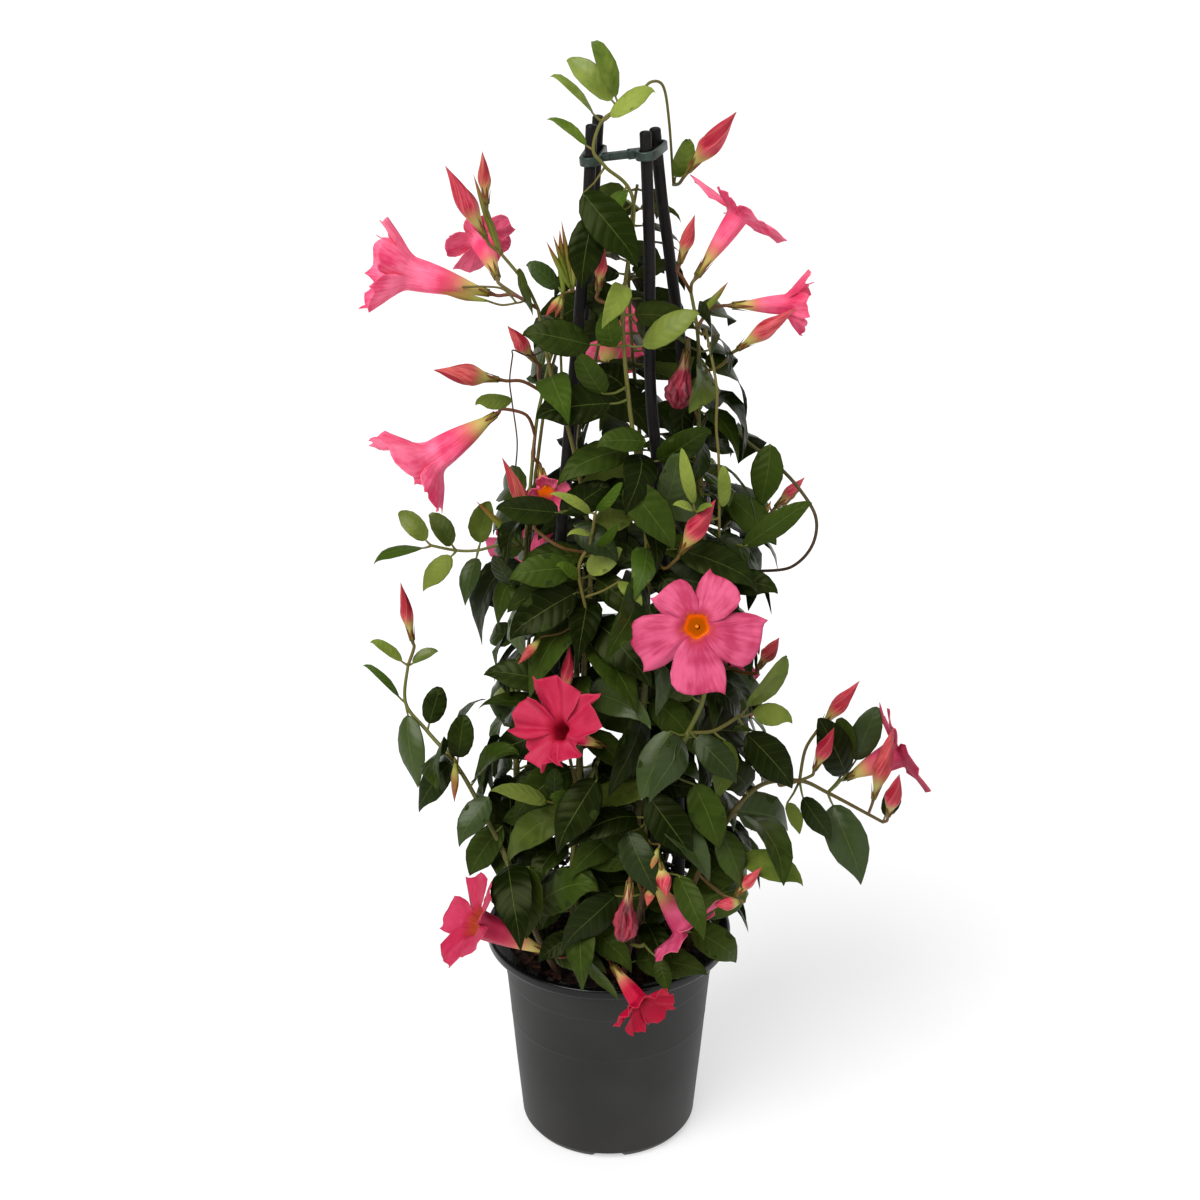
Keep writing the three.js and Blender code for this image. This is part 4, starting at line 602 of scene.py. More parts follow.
# %% The courses of canes and stems, and the places of blooms and buds
CANES = {
    "cane_front_left": [(-43, -42, 149), (-43, -44, 250), (-35, -37, 384), (-29, -29, 483),
        (-17, -17, 621), (-13, -13, 672), (-11, -10, 717)],
    "cane_back_left": [(-43, 42, 149), (-43, 44, 250), (-35, 37, 384), (-27, 29, 483),
        (-14, 18, 611), (-10, 14, 665), (-7, 10, 718)],
    "cane_front_right": [(45, -42, 149), (47, -44, 250), (39, -37, 384), (30, -27, 503),
        (25, -20, 562), (24, -14, 641), (21, -10, 713)],
    "cane_back_right": [(45, 42, 149), (56, 42, 250), (54, 33, 400), (49, 24, 532), (38, 16, 623),
        (32, 12, 666), (27, 8, 711)],
}
VINES = {
    "vine_front_left": climber(
        stem=[(-22, -50, 149), (-24, -57, 220), (-20, -54, 300), (-16, -50, 380), (-12, -46, 455),
            (-22, -40, 520), (-36, -29, 568), (-44, -14, 604)],
        radius=(2.8, 1.4), pairs=(24, 80, 20),
        shoots=[shoot(1, [(-52, -12, 620), (-66, -12, 638)], 1.3),
            shoot(.86, [(-30, -32, 590), (-28, -29, 618)], 1.1)],
        leaves=[((-62, -72, 451), 22, (0, -.7, .7), (-22, -64, 452)),
            ((-62, -76, 413), 31, (-.2, -.8, .5), (-21, -62, 435)),
            ((8, -60, 465), 18, (0, -.95, .3), (-14, -55, 447)),
            ((-80, -62, 381), 22, (0, -.7, .7), (-34, -62, 372)),
            ((-84, -64, 359), 18, (0, -.4, .9), (-32, -66, 356)),
            ((-51, -26, 638), 20, (.3, -.9, .2), (-31, -25, 621), (-28, -29, 618)),
            ((1, -60, 509), 20, (.2, -.9, .3), (-30, -52, 484)),
            ((5, -70, 463), 19, (.2, -.7, .7), (-22, -56, 478)),
            ((-70, -62, 493), 21, (0, -.95, .3), (-32, -60, 488))],
        green_buds=[((-28, -29, 617), (-30, -31, 658), 2.6), ((-68, -11, 640), (-83, 8, 682), 2.2)],
    ),
    "vine_front_right": climber(
        stem=[(20, -50, 149), (22, -58, 230), (20, -56, 310), (24, -53, 400), (22, -46, 480),
            (12, -38, 550), (8, -32, 610), (14, -20, 672), (-3, -21, 694), (-10, -21, 704),
            (-5, -17, 720), (6, -13, 727), (16, -6, 732), (24, 3, 739), (32, 10, 735),
            (36, 15, 712), (39, 16, 674)],
        radius=(2.8, 1), pairs=(40, 84, 190),
        leaves=[((-11, 0, 768), 20, (.4, -.8, .3), None, (6, -13, 727)),
            ((-24, -2, 757), 18, (.1, -.8, .5), None, (6, -13, 727)),
            ((-36, -16, 750), 10, (.5, -.6, .6), None, (-5, -17, 720)),
            ((27, -15, 741), 20, (-.3, -.9, .4), None, (-5, -17, 720)),
            ((-38, -16, 723), 8, (.3, -.5, .8), None, (-10, -21, 704)),
            ((-18, -34, 650), 32, (.1, -.7, .7), None, (14, -20, 672)),
            ((48, 6, 708), 22, (.3, -.9, .1), None, (39, 16, 674)),
            ((-45, -50, 549), 27, (0, -.8, .6), (0, -46, 554)),
            ((-53, -44, 600), 30, (-.1, -.9, .4), (-12, -42, 590)),
            ((-2, -46, 616), 17, (-.3, -.8, .3), (2, -40, 588)),
            ((54, -42, 612), 18, (0, -.8, .7), (20, -38, 588)),
            ((62, -54, 542), 22, (.2, -.9, .3), (30, -50, 518)),
            ((42, -60, 532), 20, (.4, -.9, .1), (34, -54, 492)),
            ((92, -64, 443), 24, (.1, -.7, .7), (42, -56, 462)),
            ((39, -77, 473), 25, (.2, -.9, .4), (10, -64, 508)),
            ((-20, -57, 592), 22, (-.3, -.9, .2), (-4, -52, 562)),
            ((-8, -62, 535), 20, (0, -.7, .7), (22, -54, 532))],
    ),
    "vine_right": climber(
        stem=[(54, -14, 149), (60, -18, 220), (62, -16, 300), (58, -18, 380), (60, -12, 450),
            (56, -11, 530), (56, -10, 562), (54, -8, 590), (50, -6, 612)],
        radius=(2.8, 1.4), pairs=(36, 64, 16),
        leaves=[((106, -52, 434), 25, (.2, -.7, .6), (70, -34, 430)),
            ((106, -28, 455), 24, (.2, -.9, .4), (74, -18, 484)),
            ((126, -49, 493), 16, (0, -.9, .4), (84, -47, 460))],
        green_buds=[((56, -9, 598), (73, -3, 618), 2.2)],
    ),
    "vine_left": climber(
        stem=[(-54, -12, 149), (-60, -14, 220), (-62, -10, 300), (-57, -14, 400), (-54, -14, 444),
            (-47, -9, 520), (-42, -7, 548), (-32, 2, 590)],
        radius=(2.8, 1.2), pairs=(30, 66, 4),
        shoots=[shoot((-54, -14, 444), [(-68, -20, 450), (-84, -20, 446), (-98, -18, 445),
            (-114, -17, 448)], 1.2)],
        leaves=[((-151, -22, 441), 21, (0, -.4, .9), None, (-114, -17, 448)),
            ((-136, -4, 467), 19, (.2, -.7, .5), None, (-114, -17, 448)),
            ((-115, -22, 474), 22, (.5, -.8, .2), None, (-98, -18, 445)),
            ((-120, -20, 420), 18, (-.3, -.9, .3), None, (-98, -18, 445)),
            ((-92, -38, 418), 22, (-.2, -.8, .5), None, (-84, -20, 446)),
            ((-74, -12, 476), 16, (-.4, -.8, .3), None, (-84, -20, 446)),
            ((-73, -40, 454), 17, (-.3, -.9, .2), (-62, -32, 426))],
        green_buds=[((-56, -16, 447), (-84, -26, 482), 2.4)],
    ),
    "vine_right_loop": climber(
        stem=[(56, 14, 149), (62, 14, 220), (66, 14, 300), (66, 12, 380), (62, 10, 440),
            (55, 6, 505), (68, 10, 528), (89, 10, 508), (106, 5, 496), (122, 0, 480),
            (133, -2, 461), (131, -2, 441), (118, -1, 426), (98, 2, 422)],
        radius=(2.9, 1.2), pairs=(24, 72, 200),
        shoots=[shoot(.5, [(80, 20, 452), (100, 24, 452)], 1.2, (14, 22, 0))],
        leaves=[((96, -14, 474), 20, (.3, -.9, .3), (102, -4, 512))],
    ),
    "vine_back_right": climber(
        stem=[(14, 52, 149), (20, 62, 230), (18, 60, 320), (24, 56, 420), (20, 48, 500),
            (14, 40, 570), (12, 32, 630), (17, 24, 672)],
        radius=(2.8, 1.2), pairs=(32, 62, 4),
    ),
    "vine_back_left": climber(
        stem=[(-18, 52, 149), (-20, 62, 240), (-22, 58, 330), (-15, 56, 420), (-20, 46, 500),
            (-6, 40, 570), (-3, 30, 640)],
        radius=(2.8, 1.2), pairs=(22, 62, 4),
    ),
    "vine_left_back": climber(
        stem=[(-56, 14, 149), (-63, 19, 240), (-62, 20, 320), (-55, 17, 410), (-48, 14, 480),
            (-40, 12, 540), (-34, 14, 566)],
        radius=(2.8, 1.2), pairs=(28, 62, 4),
    ),
    "vine_low_left": climber(
        stem=[(-34, -56, 149), (-48, -70, 190), (-64, -70, 240), (-84, -58, 280), (-100, -42, 302),
            (-120, -27, 320), (-134, -20, 337), (-132, -15, 362)],
        radius=(2.4, 1.1), pairs=(26, 40, 70),
        leaves=[((-163, -12, 364), 9, (.4, -.5, .8), None, (-134, -20, 337)),
            ((-157, -10, 379), 8, (.3, -.5, .8), None, (-132, -15, 362)),
            ((-112, -12, 372), 9, (-.2, -.5, .8), None, (-132, -15, 362)),
            ((-126, -42, 288), 21, (-.4, -.9, .2), None, (-134, -20, 337)),
            ((-110, -20, 352), 18, (0, -.9, .3), None, (-120, -27, 320)),
            ((-125, -52, 277), 22, (-.4, -.8, .4), (-104, -46, 306), (-100, -42, 302)),
            ((-94, -36, 340), 20, (0, -.9, .4), None, (-100, -42, 302)),
            ((-97, -84, 270), 25, (-.3, -.8, .5), (-78, -70, 294)),
            ((-54, -98, 208), 30, (-.1, -.9, .4), (-52, -84, 250)),
            ((-92, -64, 234), 22, (-.5, -.8, .3), (-70, -62, 268))],
    ),
    "vine_low_front": climber(
        stem=[(-5, -60, 149), (-14, -71, 185), (-24, -76, 240), (-18, -74, 290), (-7, -71, 322)],
        radius=(2.4, 1.4), pairs=(20, 40, 14),
        leaves=[((-76, -92, 313), 17, (0, -.6, .8), (-40, -86, 300)),
            ((-34, -92, 330), 13, (-.3, -.9, .2), (-34, -84, 300)),
            ((-38, -96, 312), 27, (.2, -.9, .4), (-8, -86, 286)),
            ((-33, -113, 284), 27, (-.2, -.9, .4), (-8, -94, 320)),
            ((-46, -94, 186), 16, (-.2, -.7, .7), (-22, -88, 202)),
            ((6, -101, 163), 12, (-.7, -.5, .5), (-20, -86, 190))],
    ),
    "vine_low_right": climber(
        stem=[(34, -56, 149), (44, -72, 190), (58, -76, 240), (80, -64, 278), (100, -48, 291),
            (126, -35, 287), (146, -26, 273), (174, -25, 256), (184, -25, 250)],
        radius=(2.4, 1.1), pairs=(26, 40, 66),
        leaves=[
            ((136, -32, 333), 26, (.2, -.95, .1), (158, -24, 286), (146, -26, 273)),
            ((152, -8, 324), 16, (.3, -.9, .2), (161, -14, 290), (146, -26, 273)),
            ((187, 2, 333), 20, (-.3, -.9, .3), (166, -8, 288), (146, -26, 273)),
            ((168, -52, 224), 30, (-.1, -.9, .5), (149, -34, 268), (146, -26, 273)),
            ((146, -56, 256), 20, (-.2, -.9, .4), (128, -42, 278), (126, -35, 287)),
            ((126, -50, 256), 10, (.4, -.8, .4), (118, -40, 273), (126, -35, 287)),
            ((126, -86, 243), 22, (0, -.7, .7), (86, -78, 254)),
            ((86, -94, 243), 24, (.2, -.9, .3), (72, -82, 276)),
            ((196, -8, 272), 14, (.2, -.6, .7), None, (184, -25, 250))],
    ),
    "vine_front_middle": climber(
        stem=[(9, -63, 149), (14, -78, 188), (22, -84, 230), (24, -82, 284), (38, -79, 318),
            (50, -76, 344), (60, -70, 368), (60, -50, 390)],
        radius=(2.4, 1.5), pairs=(22, 60, 20),
        shoots=[shoot((50, -76, 344), [(66, -72, 343), (82, -66, 350)], 1.3),
            shoot((14, -78, 188), [(20, -89, 193), (23, -93, 197)], 1.3)],
        leaves=[((112, -68, 398), 24, (.5, -.85, .1), (89, -63, 356), (82, -66, 350)),
            ((118, -54, 343), 23, (.2, -.7, .6), (92, -58, 349), (82, -66, 350)),
            ((80, -86, 356), 14, (.2, -.6, -.7), (88, -70, 342), (82, -66, 350)),
            ((118, -70, 303), 29, (.2, -.85, .5), (88, -66, 338), (82, -66, 350)),
            ((69, -88, 304), 22, (.3, -.9, .3), (74, -74, 337), (66, -72, 343)),
            ((20, -100, 311), 27, (-.2, -.9, .3), (38, -86, 350)),
            ((80, -98, 322), 22, (.1, -.8, .6), (54, -86, 346)),
            ((52, -106, 272), 28, (.1, -.9, .4), (24, -92, 308)),
            ((28, -112, 250), 24, (-.2, -.9, .3), (12, -94, 282)),
            ((70, -98, 274), 24, (.3, -.9, .3), (54, -86, 312)),
            ((60, -129, 228), 18, (.1, -.9, .4), (44, -104, 256)),
            ((-30, -103, 204), 33, (0, -.85, .5), (4, -90, 232)),
            ((38, -113, 174), 16, (0, -.9, .5), (32, -103, 193), (23, -93, 197))],
    ),
    "vine_low_back_left": climber(
        stem=[(-34, 54, 149), (-46, 72, 205), (-55, 76, 262), (-57, 72, 320), (-51, 64, 372)],
        radius=(2.5, 1.1), pairs=(28, 44, 2),
    ),
    "vine_low_back_right": climber(
        stem=[(36, 54, 149), (48, 70, 205), (61, 72, 262), (69, 66, 320), (66, 58, 378)],
        radius=(2.5, 1.1), pairs=(28, 44, 2),
    ),
}
BLOOMS = {
    "bloom_upper_left": bloom("vine_front_left", 1, [(-58, -12, 612)], (-75, -10, 613),
        (-120, -15, 626), 30, .42, 20),
    "bloom_upper_left_back": bloom("vine_front_left", 1, [(-56, -2, 608)], (-70, 8, 618),
        (-80, 39, 632), 17, .9, 50),
    "bloom_middle_left": bloom("vine_left", (-47, -9, 520), [(-52, -11, 534)], (-72, -14, 535),
        (-108, -24, 512), 31, .5, 30),
    "bloom_top_right": bloom("vine_right", 1, [], (54, -8, 624), (77, 4, 656), 24, .8, 10),
    "bloom_upper_right": bloom("vine_right", (54, -8, 590), [(62, -4, 601)], (77, 0, 602),
        (108, 2, 602), 21, .4, 0),
    "bloom_front": bloom("vine_front_middle", 1, [], (56, -46, 404), (53, -97, 428), 30, 1, 36),
    "bloom_front_left": bloom("vine_low_front", 1, [], (-6, -76, 335), (-30, -102, 358), 20, .75, 14),
    "bloom_right": bloom("vine_low_right", (146, -26, 273), [], (160, -14, 278), (192, -10, 294),
        25, .8, 10),
    "bloom_low_left": bloom("vine_low_front", (-14, -71, 185), [(-28, -78, 178)], (-42, -82, 184),
        (-86, -94, 214), 24, .7, 40),
    "bloom_low_right": bloom("vine_front_middle", (22, -84, 230), [(19, -87, 241)], (29, -86, 240),
        (48, -99, 216), 22, .85, 20),
    "bloom_pot_front": bloom("vine_low_front", (-14, -71, 185), [], (3, -84, 174), (19, -105, 161),
        14, .65, 20),
    "bloom_middle_hidden": bloom("vine_left", (-47, -9, 520), [(-48, -15, 508)], (-43, -20, 500),
        (-40, -37, 493), 11, .7, 0),
    "bloom_back_right": bloom("vine_back_right", .5, [(30, 66, 412)], (34, 74, 416), (40, 110, 430),
        28, .95, 12),
    "bloom_back_left": bloom("vine_low_back_left", 1, [], (-48, 68, 382), (-50, 104, 396), 27, .9,
        30),
    "bloom_back_top": bloom("vine_back_left", .8, [(-6, 52, 538)], (-2, 62, 540), (2, 98, 552), 26,
        .85, 5),
    "bloom_back_low": bloom("vine_low_back_right", .55, [(64, 82, 264)], (68, 92, 268),
        (76, 124, 276), 27, .9, 44),
}
WILTED = {
    "wilted_upper": bud("vine_right", (56, -11, 530), [(50, -18, 552)], (47, -25, 580),
        (41, -31, 546), 8),
    "wilted_low": bud("vine_front_middle", (22, -84, 230), [(16, -98, 254)], (13, -104, 250),
        (9, -112, 212), 7),
}
BUDS = {
    "bud_upper_left_large": bud("vine_front_left", (-66, -12, 638), [], (-76, -13, 650),
        (-98, -20, 694), 5.8),
    "bud_upper_left_small": bud("vine_front_left", (-66, -12, 638), [(-71, -6, 654)],
        (-75, -3, 668), (-77, 1, 698), 3.8),
    "bud_middle_left": bud("vine_left", (-42, -7, 548), [(-54, -13, 557)], (-70, -18, 560),
        (-108, -30, 570), 6.4),
    "bud_middle_left_small": bud("vine_left", (-42, -7, 548), [(-44, -18, 562)], (-47, -26, 576),
        (-62, -36, 600), 4.6),
    "bud_left_inner": bud("vine_front_left", (-12, -46, 455), [(-30, -54, 462)], (-48, -50, 478),
        (-66, -52, 521), 4.4),
    "bud_far_left": bud("vine_low_left", 1, [], (-129, -12, 380), (-135, -12, 420), 4),
    "bud_top_right": bud("vine_front_right", 1, [(42, 6, 677)], (48, -8, 689), (74, -28, 728), 6.2),
    "bud_upper_right_upright": bud("vine_right", 1, [(45, -10, 622)], (43, -13, 634),
        (51, -18, 664), 4),
    "bud_upper_right_long": bud("vine_right", (56, -10, 562), [(68, -14, 567)], (80, -20, 581),
        (112, -36, 611), 5.2),
    "bud_top_centre": bud("vine_front_right", (8, -32, 610), [(-1, -37, 614)], (-7, -38, 624),
        (-4, -42, 654), 3.6),
    "bud_centre_right": bud("vine_front_right", .46, [(32, -62, 452)], (44, -70, 466),
        (64, -77, 503), 6.4),
    "bud_right_behind": bud("vine_right_loop", (100, 24, 452), [], (110, 26, 458), (128, 32, 476), 4),
    "bud_right_inner": bud("vine_right", (58, -18, 380), [(78, -36, 370)], (96, -54, 380),
        (107, -62, 404), 4.6),
    "bud_spray_outer": bud("vine_low_right", (126, -35, 287), [(130, -24, 304)], (141, -22, 322),
        (163, -30, 358), 5),
    "bud_spray_middle": bud("vine_low_right", (126, -35, 287), [], (136, -36, 297), (146, -46, 332),
        5),
    "bud_spray_inner": bud("vine_low_right", (126, -35, 287), [(120, -42, 289)], (110, -48, 295),
        (99, -60, 322), 4.6),
    "bud_spray_upper": bud("vine_low_right", (174, -25, 256), [], (176, -34, 274), (184, -50, 334),
        6),
    "bud_spray_lower": bud("vine_low_right", 1, [], (186, -36, 262), (189, -54, 302), 5.4),
    "bud_low_front": bud("vine_front_middle", (22, -84, 230), [(26, -98, 262)], (32, -106, 265),
        (37, -115, 246), 5.2),
    "bud_low_right": bud("vine_low_right", (58, -76, 240), [(72, -84, 231)], (83, -90, 233),
        (98, -94, 256), 3.8),
    "bud_front_left": bud("vine_low_front", (-18, -74, 290), [(-26, -76, 330)], (-28, -74, 368),
        (-25, -74, 405), 4),
}
print("stems:", len(VINES), "blooms:", len(BLOOMS), "buds:", len(BUDS))

# %% [markdown]
# ## Where the frame's leaves are
# The frame's builder tried each leaf a few times and kept the first try that was clear of
# its neighbours. The same draws give the same tries here, and the kept one is the one whose
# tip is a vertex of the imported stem. Nothing has to be fitted: the finer leaf stands exactly
# on the plain one.

# %% Leaf frames
ATTEMPTS = 14  # tries for each leaf
NUDGE = 2.4  # how much further each try may move a listed leaf
PLACED = 500  # listed leaves have numbers from here on
STEPS = 16  # points of a stem from one of its chosen points to the next
PLANT_AXIS = np.array([6.0, 0, 0])
SHORTEST, LONGEST = 38, 58
SAME_POINT = 0.02


def leaf_length(height):
    """Leaves get shorter the higher they stand."""
    return np.clip(60 - (height - 430) * 0.085, SHORTEST, LONGEST)


def ruled_leaf(stem, number, attempt, point, direction, size=1.0):
    """A leaf by the rule: pairs turn by quarters, faces look outwards and up, and the blade
    arches over towards its tip. Gives root, base, two midrib points, tip, across and width."""
    roll = [draw(stem, number, attempt, channel) for channel in range(9)]
    outward = unit((point - PLANT_AXIS) * (1, 1, 0))
    aside = np.array([-outward[1], outward[0], 0])
    in_plane = unit(outward - direction * outward.dot(direction))
    beside = np.cross(direction, in_plane)
    angle = (number // 2) * np.pi / 2 + (number % 2) * np.pi + 0.6 + (roll[0] - 0.5) * 1.6
    heading = unit(in_plane * np.cos(angle) + beside * np.sin(angle) + outward * 0.35)
    face = outward * (0.45 + 0.6 * roll[1]) + aside * (roll[2] - 0.5) * 1.1
    face = unit(face + (0, 0, 0.3 + 0.7 * roll[3]))
    course = heading + (0, 0, -0.35 - 0.3 * roll[4])
    course = unit(course - face * course.dot(face))
    across = np.cross(face, course)
    blade = leaf_length(point[2]) * (0.8 + 0.32 * roll[5]) * size
    stalk = 4 + 6 * roll[6]
    start = unit(heading + unit(course + face * 0.5))
    middle = point + start * (stalk + blade * 0.3)
    outer = middle + course * blade * 0.38
    tip = outer + unit(course + face * (-0.3 - 0.3 * roll[7])) * blade * 0.34
    return dict(root=point, base=point + start * stalk, middle=middle, outer=outer, tip=tip,
                across=unit(across), width=blade * (0.46 + 0.1 * roll[8]))


def placed_leaf(stem, number, attempt, line, spec):
    """A listed leaf, nudged a little more with each attempt."""
    roll = [draw(stem, number, attempt, channel) for channel in range(3)]
    tip = np.array(spec["tip"], float) + np.array([(share - 0.5) * attempt * NUDGE for share in roll])
    if spec["root"] is None:
        near = line[np.argmin(np.linalg.norm(line - np.array(spec["base"]), axis=1))]
    else:
        near = root_point(line, spec["root"])
    base = near + 0.15 * (tip - near) if spec["base"] is None else np.array(spec["base"], float)
    chord = tip - base
    across = unit(np.cross(spec["face"], chord))
    lift = unit(np.cross(chord, across)) * np.linalg.norm(chord) * 0.08
    return dict(root=near, base=base, middle=base + chord * 0.36 + lift,
                outer=base + chord * 0.72 + lift * 0.8, tip=tip, across=across, width=spec["width"])


def branches(vine):
    """The main stem and its side shoots, each a line, a radius pair and its leaf rule."""
    main = spline(vine["stem"], STEPS)
    rows = [(main, vine["radius"], vine["pairs"])]
    for side in vine["shoots"]:
        line = spline([root_point(main, side["root"]), *side["route"]], STEPS)
        rows.append((line, (side["radius"], side["radius"]), side["pairs"]))
    return rows


def pair_starts(line, pairs):
    """Distances along a line from the first pair on, one gap apart, up to the bare tip."""
    first, gap, end = pairs
    return np.arange(first, lengths(line)[-1] - end + 1e-9, gap)


def frame_leaves(name, stem, vine):
    """The leaves of one packed stem: of each leaf's tries, the one whose tip is a vertex."""
    rows = branches(vine)
    vertices = np.array([v.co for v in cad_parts[name].data.vertices]) / MM
    tries = [
        lambda attempt, number=PLACED + i, spec=spec: placed_leaf(stem, number, attempt, rows[0][0], spec)
        for i, spec in enumerate(vine["leaves"])
    ]
    for branch, (line, radius, pairs) in enumerate(rows):
        for pair, distance in enumerate(pair_starts(line, pairs) if pairs else []):
            for side in (0, 1):
                number = 100 * branch + pair * 2 + side
                start = along(line, distance)
                tries.append(
                    lambda attempt, number=number, start=start: ruled_leaf(stem, number, attempt, *start))
    found = []
    for build in tries:
        for attempt in range(ATTEMPTS):
            one = build(attempt)
            if np.min(np.linalg.norm(vertices - one["tip"], axis=1)) < SAME_POINT:
                found.append(one)
                break
    return found


LEAVES = {name: frame_leaves(name, stem, vine) for stem, (name, vine) in enumerate(VINES.items())}
print("leaves found in the frame:", sum(len(found) for found in LEAVES.values()))

# %% [markdown]
# ## More leaves than the frame holds
# The frame carries the main leaves. A real stem has more, so the rule goes on halfway between
# its pairs, where there is room. Room is kept in a grid of small boxes: whatever has been
# placed marks the boxes it passes through, and a new leaf that would enter a marked box is
# turned or bent by its next draw, and left out when all its tries are taken. Some empty boxes
# are marked too, so that the upper canes, the front stem and the low right bloom stay in view
# and two gaps beside the plant's waist stay open.

# %% Room for more leaves
BOX = 4.0
CORNER = np.array([-190.0, -170.0, 100.0])
BARE = 9.0  # this close to its root, a leaf needs no room
FULL_PIECES = "bloom", "bud", "wilted", "cane", "pot"
taken = np.zeros((110, 90, 175), bool)


def boxes(points):
    """The grid box that each point lies in."""
    cell = np.floor((np.asarray(points).reshape(-1, 3) - CORNER) / BOX).astype(int)
    return tuple(np.clip(cell, 0, np.array(taken.shape) - 1).T)


def blade_points(one):
    """Points over a flat stand-in of the blade, closer together than the boxes are wide."""
    mid = spline([one["base"], one["middle"], one["outer"], one["tip"]], 5)
    half = np.interp(np.linspace(0, 1, len(mid)), [0, 0.15, 0.45, 0.8, 1], [0.1, 0.4, 0.5, 0.3, 0])
    wide = one["width"] * half
    share = np.linspace(-1, 1, 9)
    return mid[:, None] + share[None, :, None] * wide[:, None, None] * one["across"]


def has_room(one):
    """Whether a blade's boxes are free, but for those close to its root."""
    points = blade_points(one).reshape(-1, 3)
    free = np.linalg.norm(points - one["root"], axis=1) > BARE
    return not taken[boxes(points[free])].any()


def mark(points):
    taken[boxes(points)] = True


share = np.linspace(0, 1, 16)
s, t = (x.ravel()[None, :, None] for x in np.meshgrid(share, share))
for name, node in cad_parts.items():
    if name.startswith(FULL_PIECES):
        corners = np.array([v.co for v in node.data.vertices]) / MM
        index = np.array([list(p.vertices) for p in node.data.polygons])
        a, b, c = (corners[index[:, k]][:, None] for k in range(3))
        mark(a + (b - a) * s * (1 - t) + (c - a) * t)
for name, found in LEAVES.items():
    for line, radii, pairs in branches(VINES[name]):
        mark(line)
    for one in found:
        mark(blade_points(one))
print("boxes taken by the frame:", int(taken.sum()))

# %% Grow the extra leaves
EXTRA_TRIES = 16
EXTRA_GAP = 13  # wished distance between pairs
EXTRA_DRAWS = 1000  # extra leaves have numbers from here on
LOWEST_TIP, HIGHEST_TIP = 168, 665
COLUMN_MIDDLE, COLUMN_DEPTH = 12, 1.25
COLUMN_HEIGHT, COLUMN_HALF = [420, 650], [95, 54]
TOWARDS_FRONT = np.array([0, -0.91, 0.41])
CANES_SHOW_ABOVE, STEM_SHOWS_ABOVE = 505, 270
AIR = [((-70, -60, 495), (-33, 60, 568)), ((98, -60, 425), (140, 60, 522))]  # two corners of each gap


def in_outline(tip):
    """The plant fills a column that narrows upwards, and low tips clear the pot's rim."""
    away = math.hypot(tip[0] - COLUMN_MIDDLE, tip[1] / COLUMN_DEPTH)
    return LOWEST_TIP < tip[2] < HIGHEST_TIP and away < np.interp(tip[2], COLUMN_HEIGHT, COLUMN_HALF)


def extra_leaves(stem, vine):
    """Leaves by the rule at closer steps, where they have room inside the outline."""
    grown = []
    for branch, (line, radius, pairs) in enumerate(branches(vine)):
        if not pairs:
            continue
        first, gap, end = pairs
        step = gap / max(1, round(gap / EXTRA_GAP))
        for pair, distance in enumerate(np.arange(first * 0.5, lengths(line)[-1] - end * 0.3, step)):
            for side in (0, 1):
                for attempt in range(EXTRA_TRIES):
                    size = 0.62 + 0.36 * draw(stem, EXTRA_DRAWS + pair, side, 7)
                    number = EXTRA_DRAWS + 200 * branch + pair * 2 + side
                    one = ruled_leaf(stem, number, attempt, *along(line, distance), size)
                    if in_outline(one["tip"]) and has_room(one):
                        mark(blade_points(one))
                        grown.append(one)
                        break
    return grown


seen_canes = [spline(CANES[name], 40) for name in ("cane_front_right", "cane_front_left")]
seen_stem = spline(VINES["vine_front_middle"]["stem"], 40)
seen = [line[line[:, 2] > CANES_SHOW_ABOVE] for line in seen_canes]
seen.append(seen_stem[seen_stem[:, 2] > STEM_SHOWS_ABOVE])
for line in seen:
    for reach in np.arange(6, 66, 3):
        for beside in (-7, -3, 0, 3, 7):
            mark(line + TOWARDS_FRONT * reach + (beside, 0, 0))
for low, high in AIR:
    mark(np.stack(np.meshgrid(*[np.arange(a, b, 3) for a, b in zip(low, high)]), -1))
for beside in range(-20, 21, 4):
    for up in range(-16, 17, 4):
        middle = np.array(BLOOMS["bloom_low_right"]["tip"]) + (beside, 0, up)
        mark(middle + TOWARDS_FRONT * np.arange(6, 50, 3)[:, None])
EXTRA = {name: extra_leaves(stem, vine) for stem, (name, vine) in enumerate(VINES.items())}
print("extra leaves:", sum(len(grown) for grown in EXTRA.values()))

# %% [markdown]
# ## The shape of a leaf
# A blade is a surface over two numbers: v along the midrib and s across it, -1 to 1. The
# outline is an egg shape with a drawn-out tip. Across, the halves rise from the midrib like an
# open book, and their margins roll down again and wave a little. The blade turns a little
# about its midrib, and its tip hangs. The lower side is the same surface set off by its
# thickness, which dies out at the margin. All leaves of a stem are worked out at once: their
# arrays have a first axis that runs over the leaves.

# %% Blades and petioles
ROWS = np.array([0, 0.05, 0.15, 0.3, 0.46, 0.62, 0.76, 0.87, 0.94, 1])  # closer at the ends
WIDTHS = np.array([0.05, 0.38, 0.74, 0.98, 1.02, 0.88, 0.6, 0.32, 0.15, 0.012])
ACROSS = [0, 0.5, 0.93, 1]  # closer at the margin, so that only a thin line turns over it
BLADE = 0.5  # greatest thickness of a blade
BROADEST = 0.55  # most that a blade's width may be of its length
HANGS_FROM = 0.72  # share of the midrib from which the tip hangs
SHAPE_DRAWS = 2000


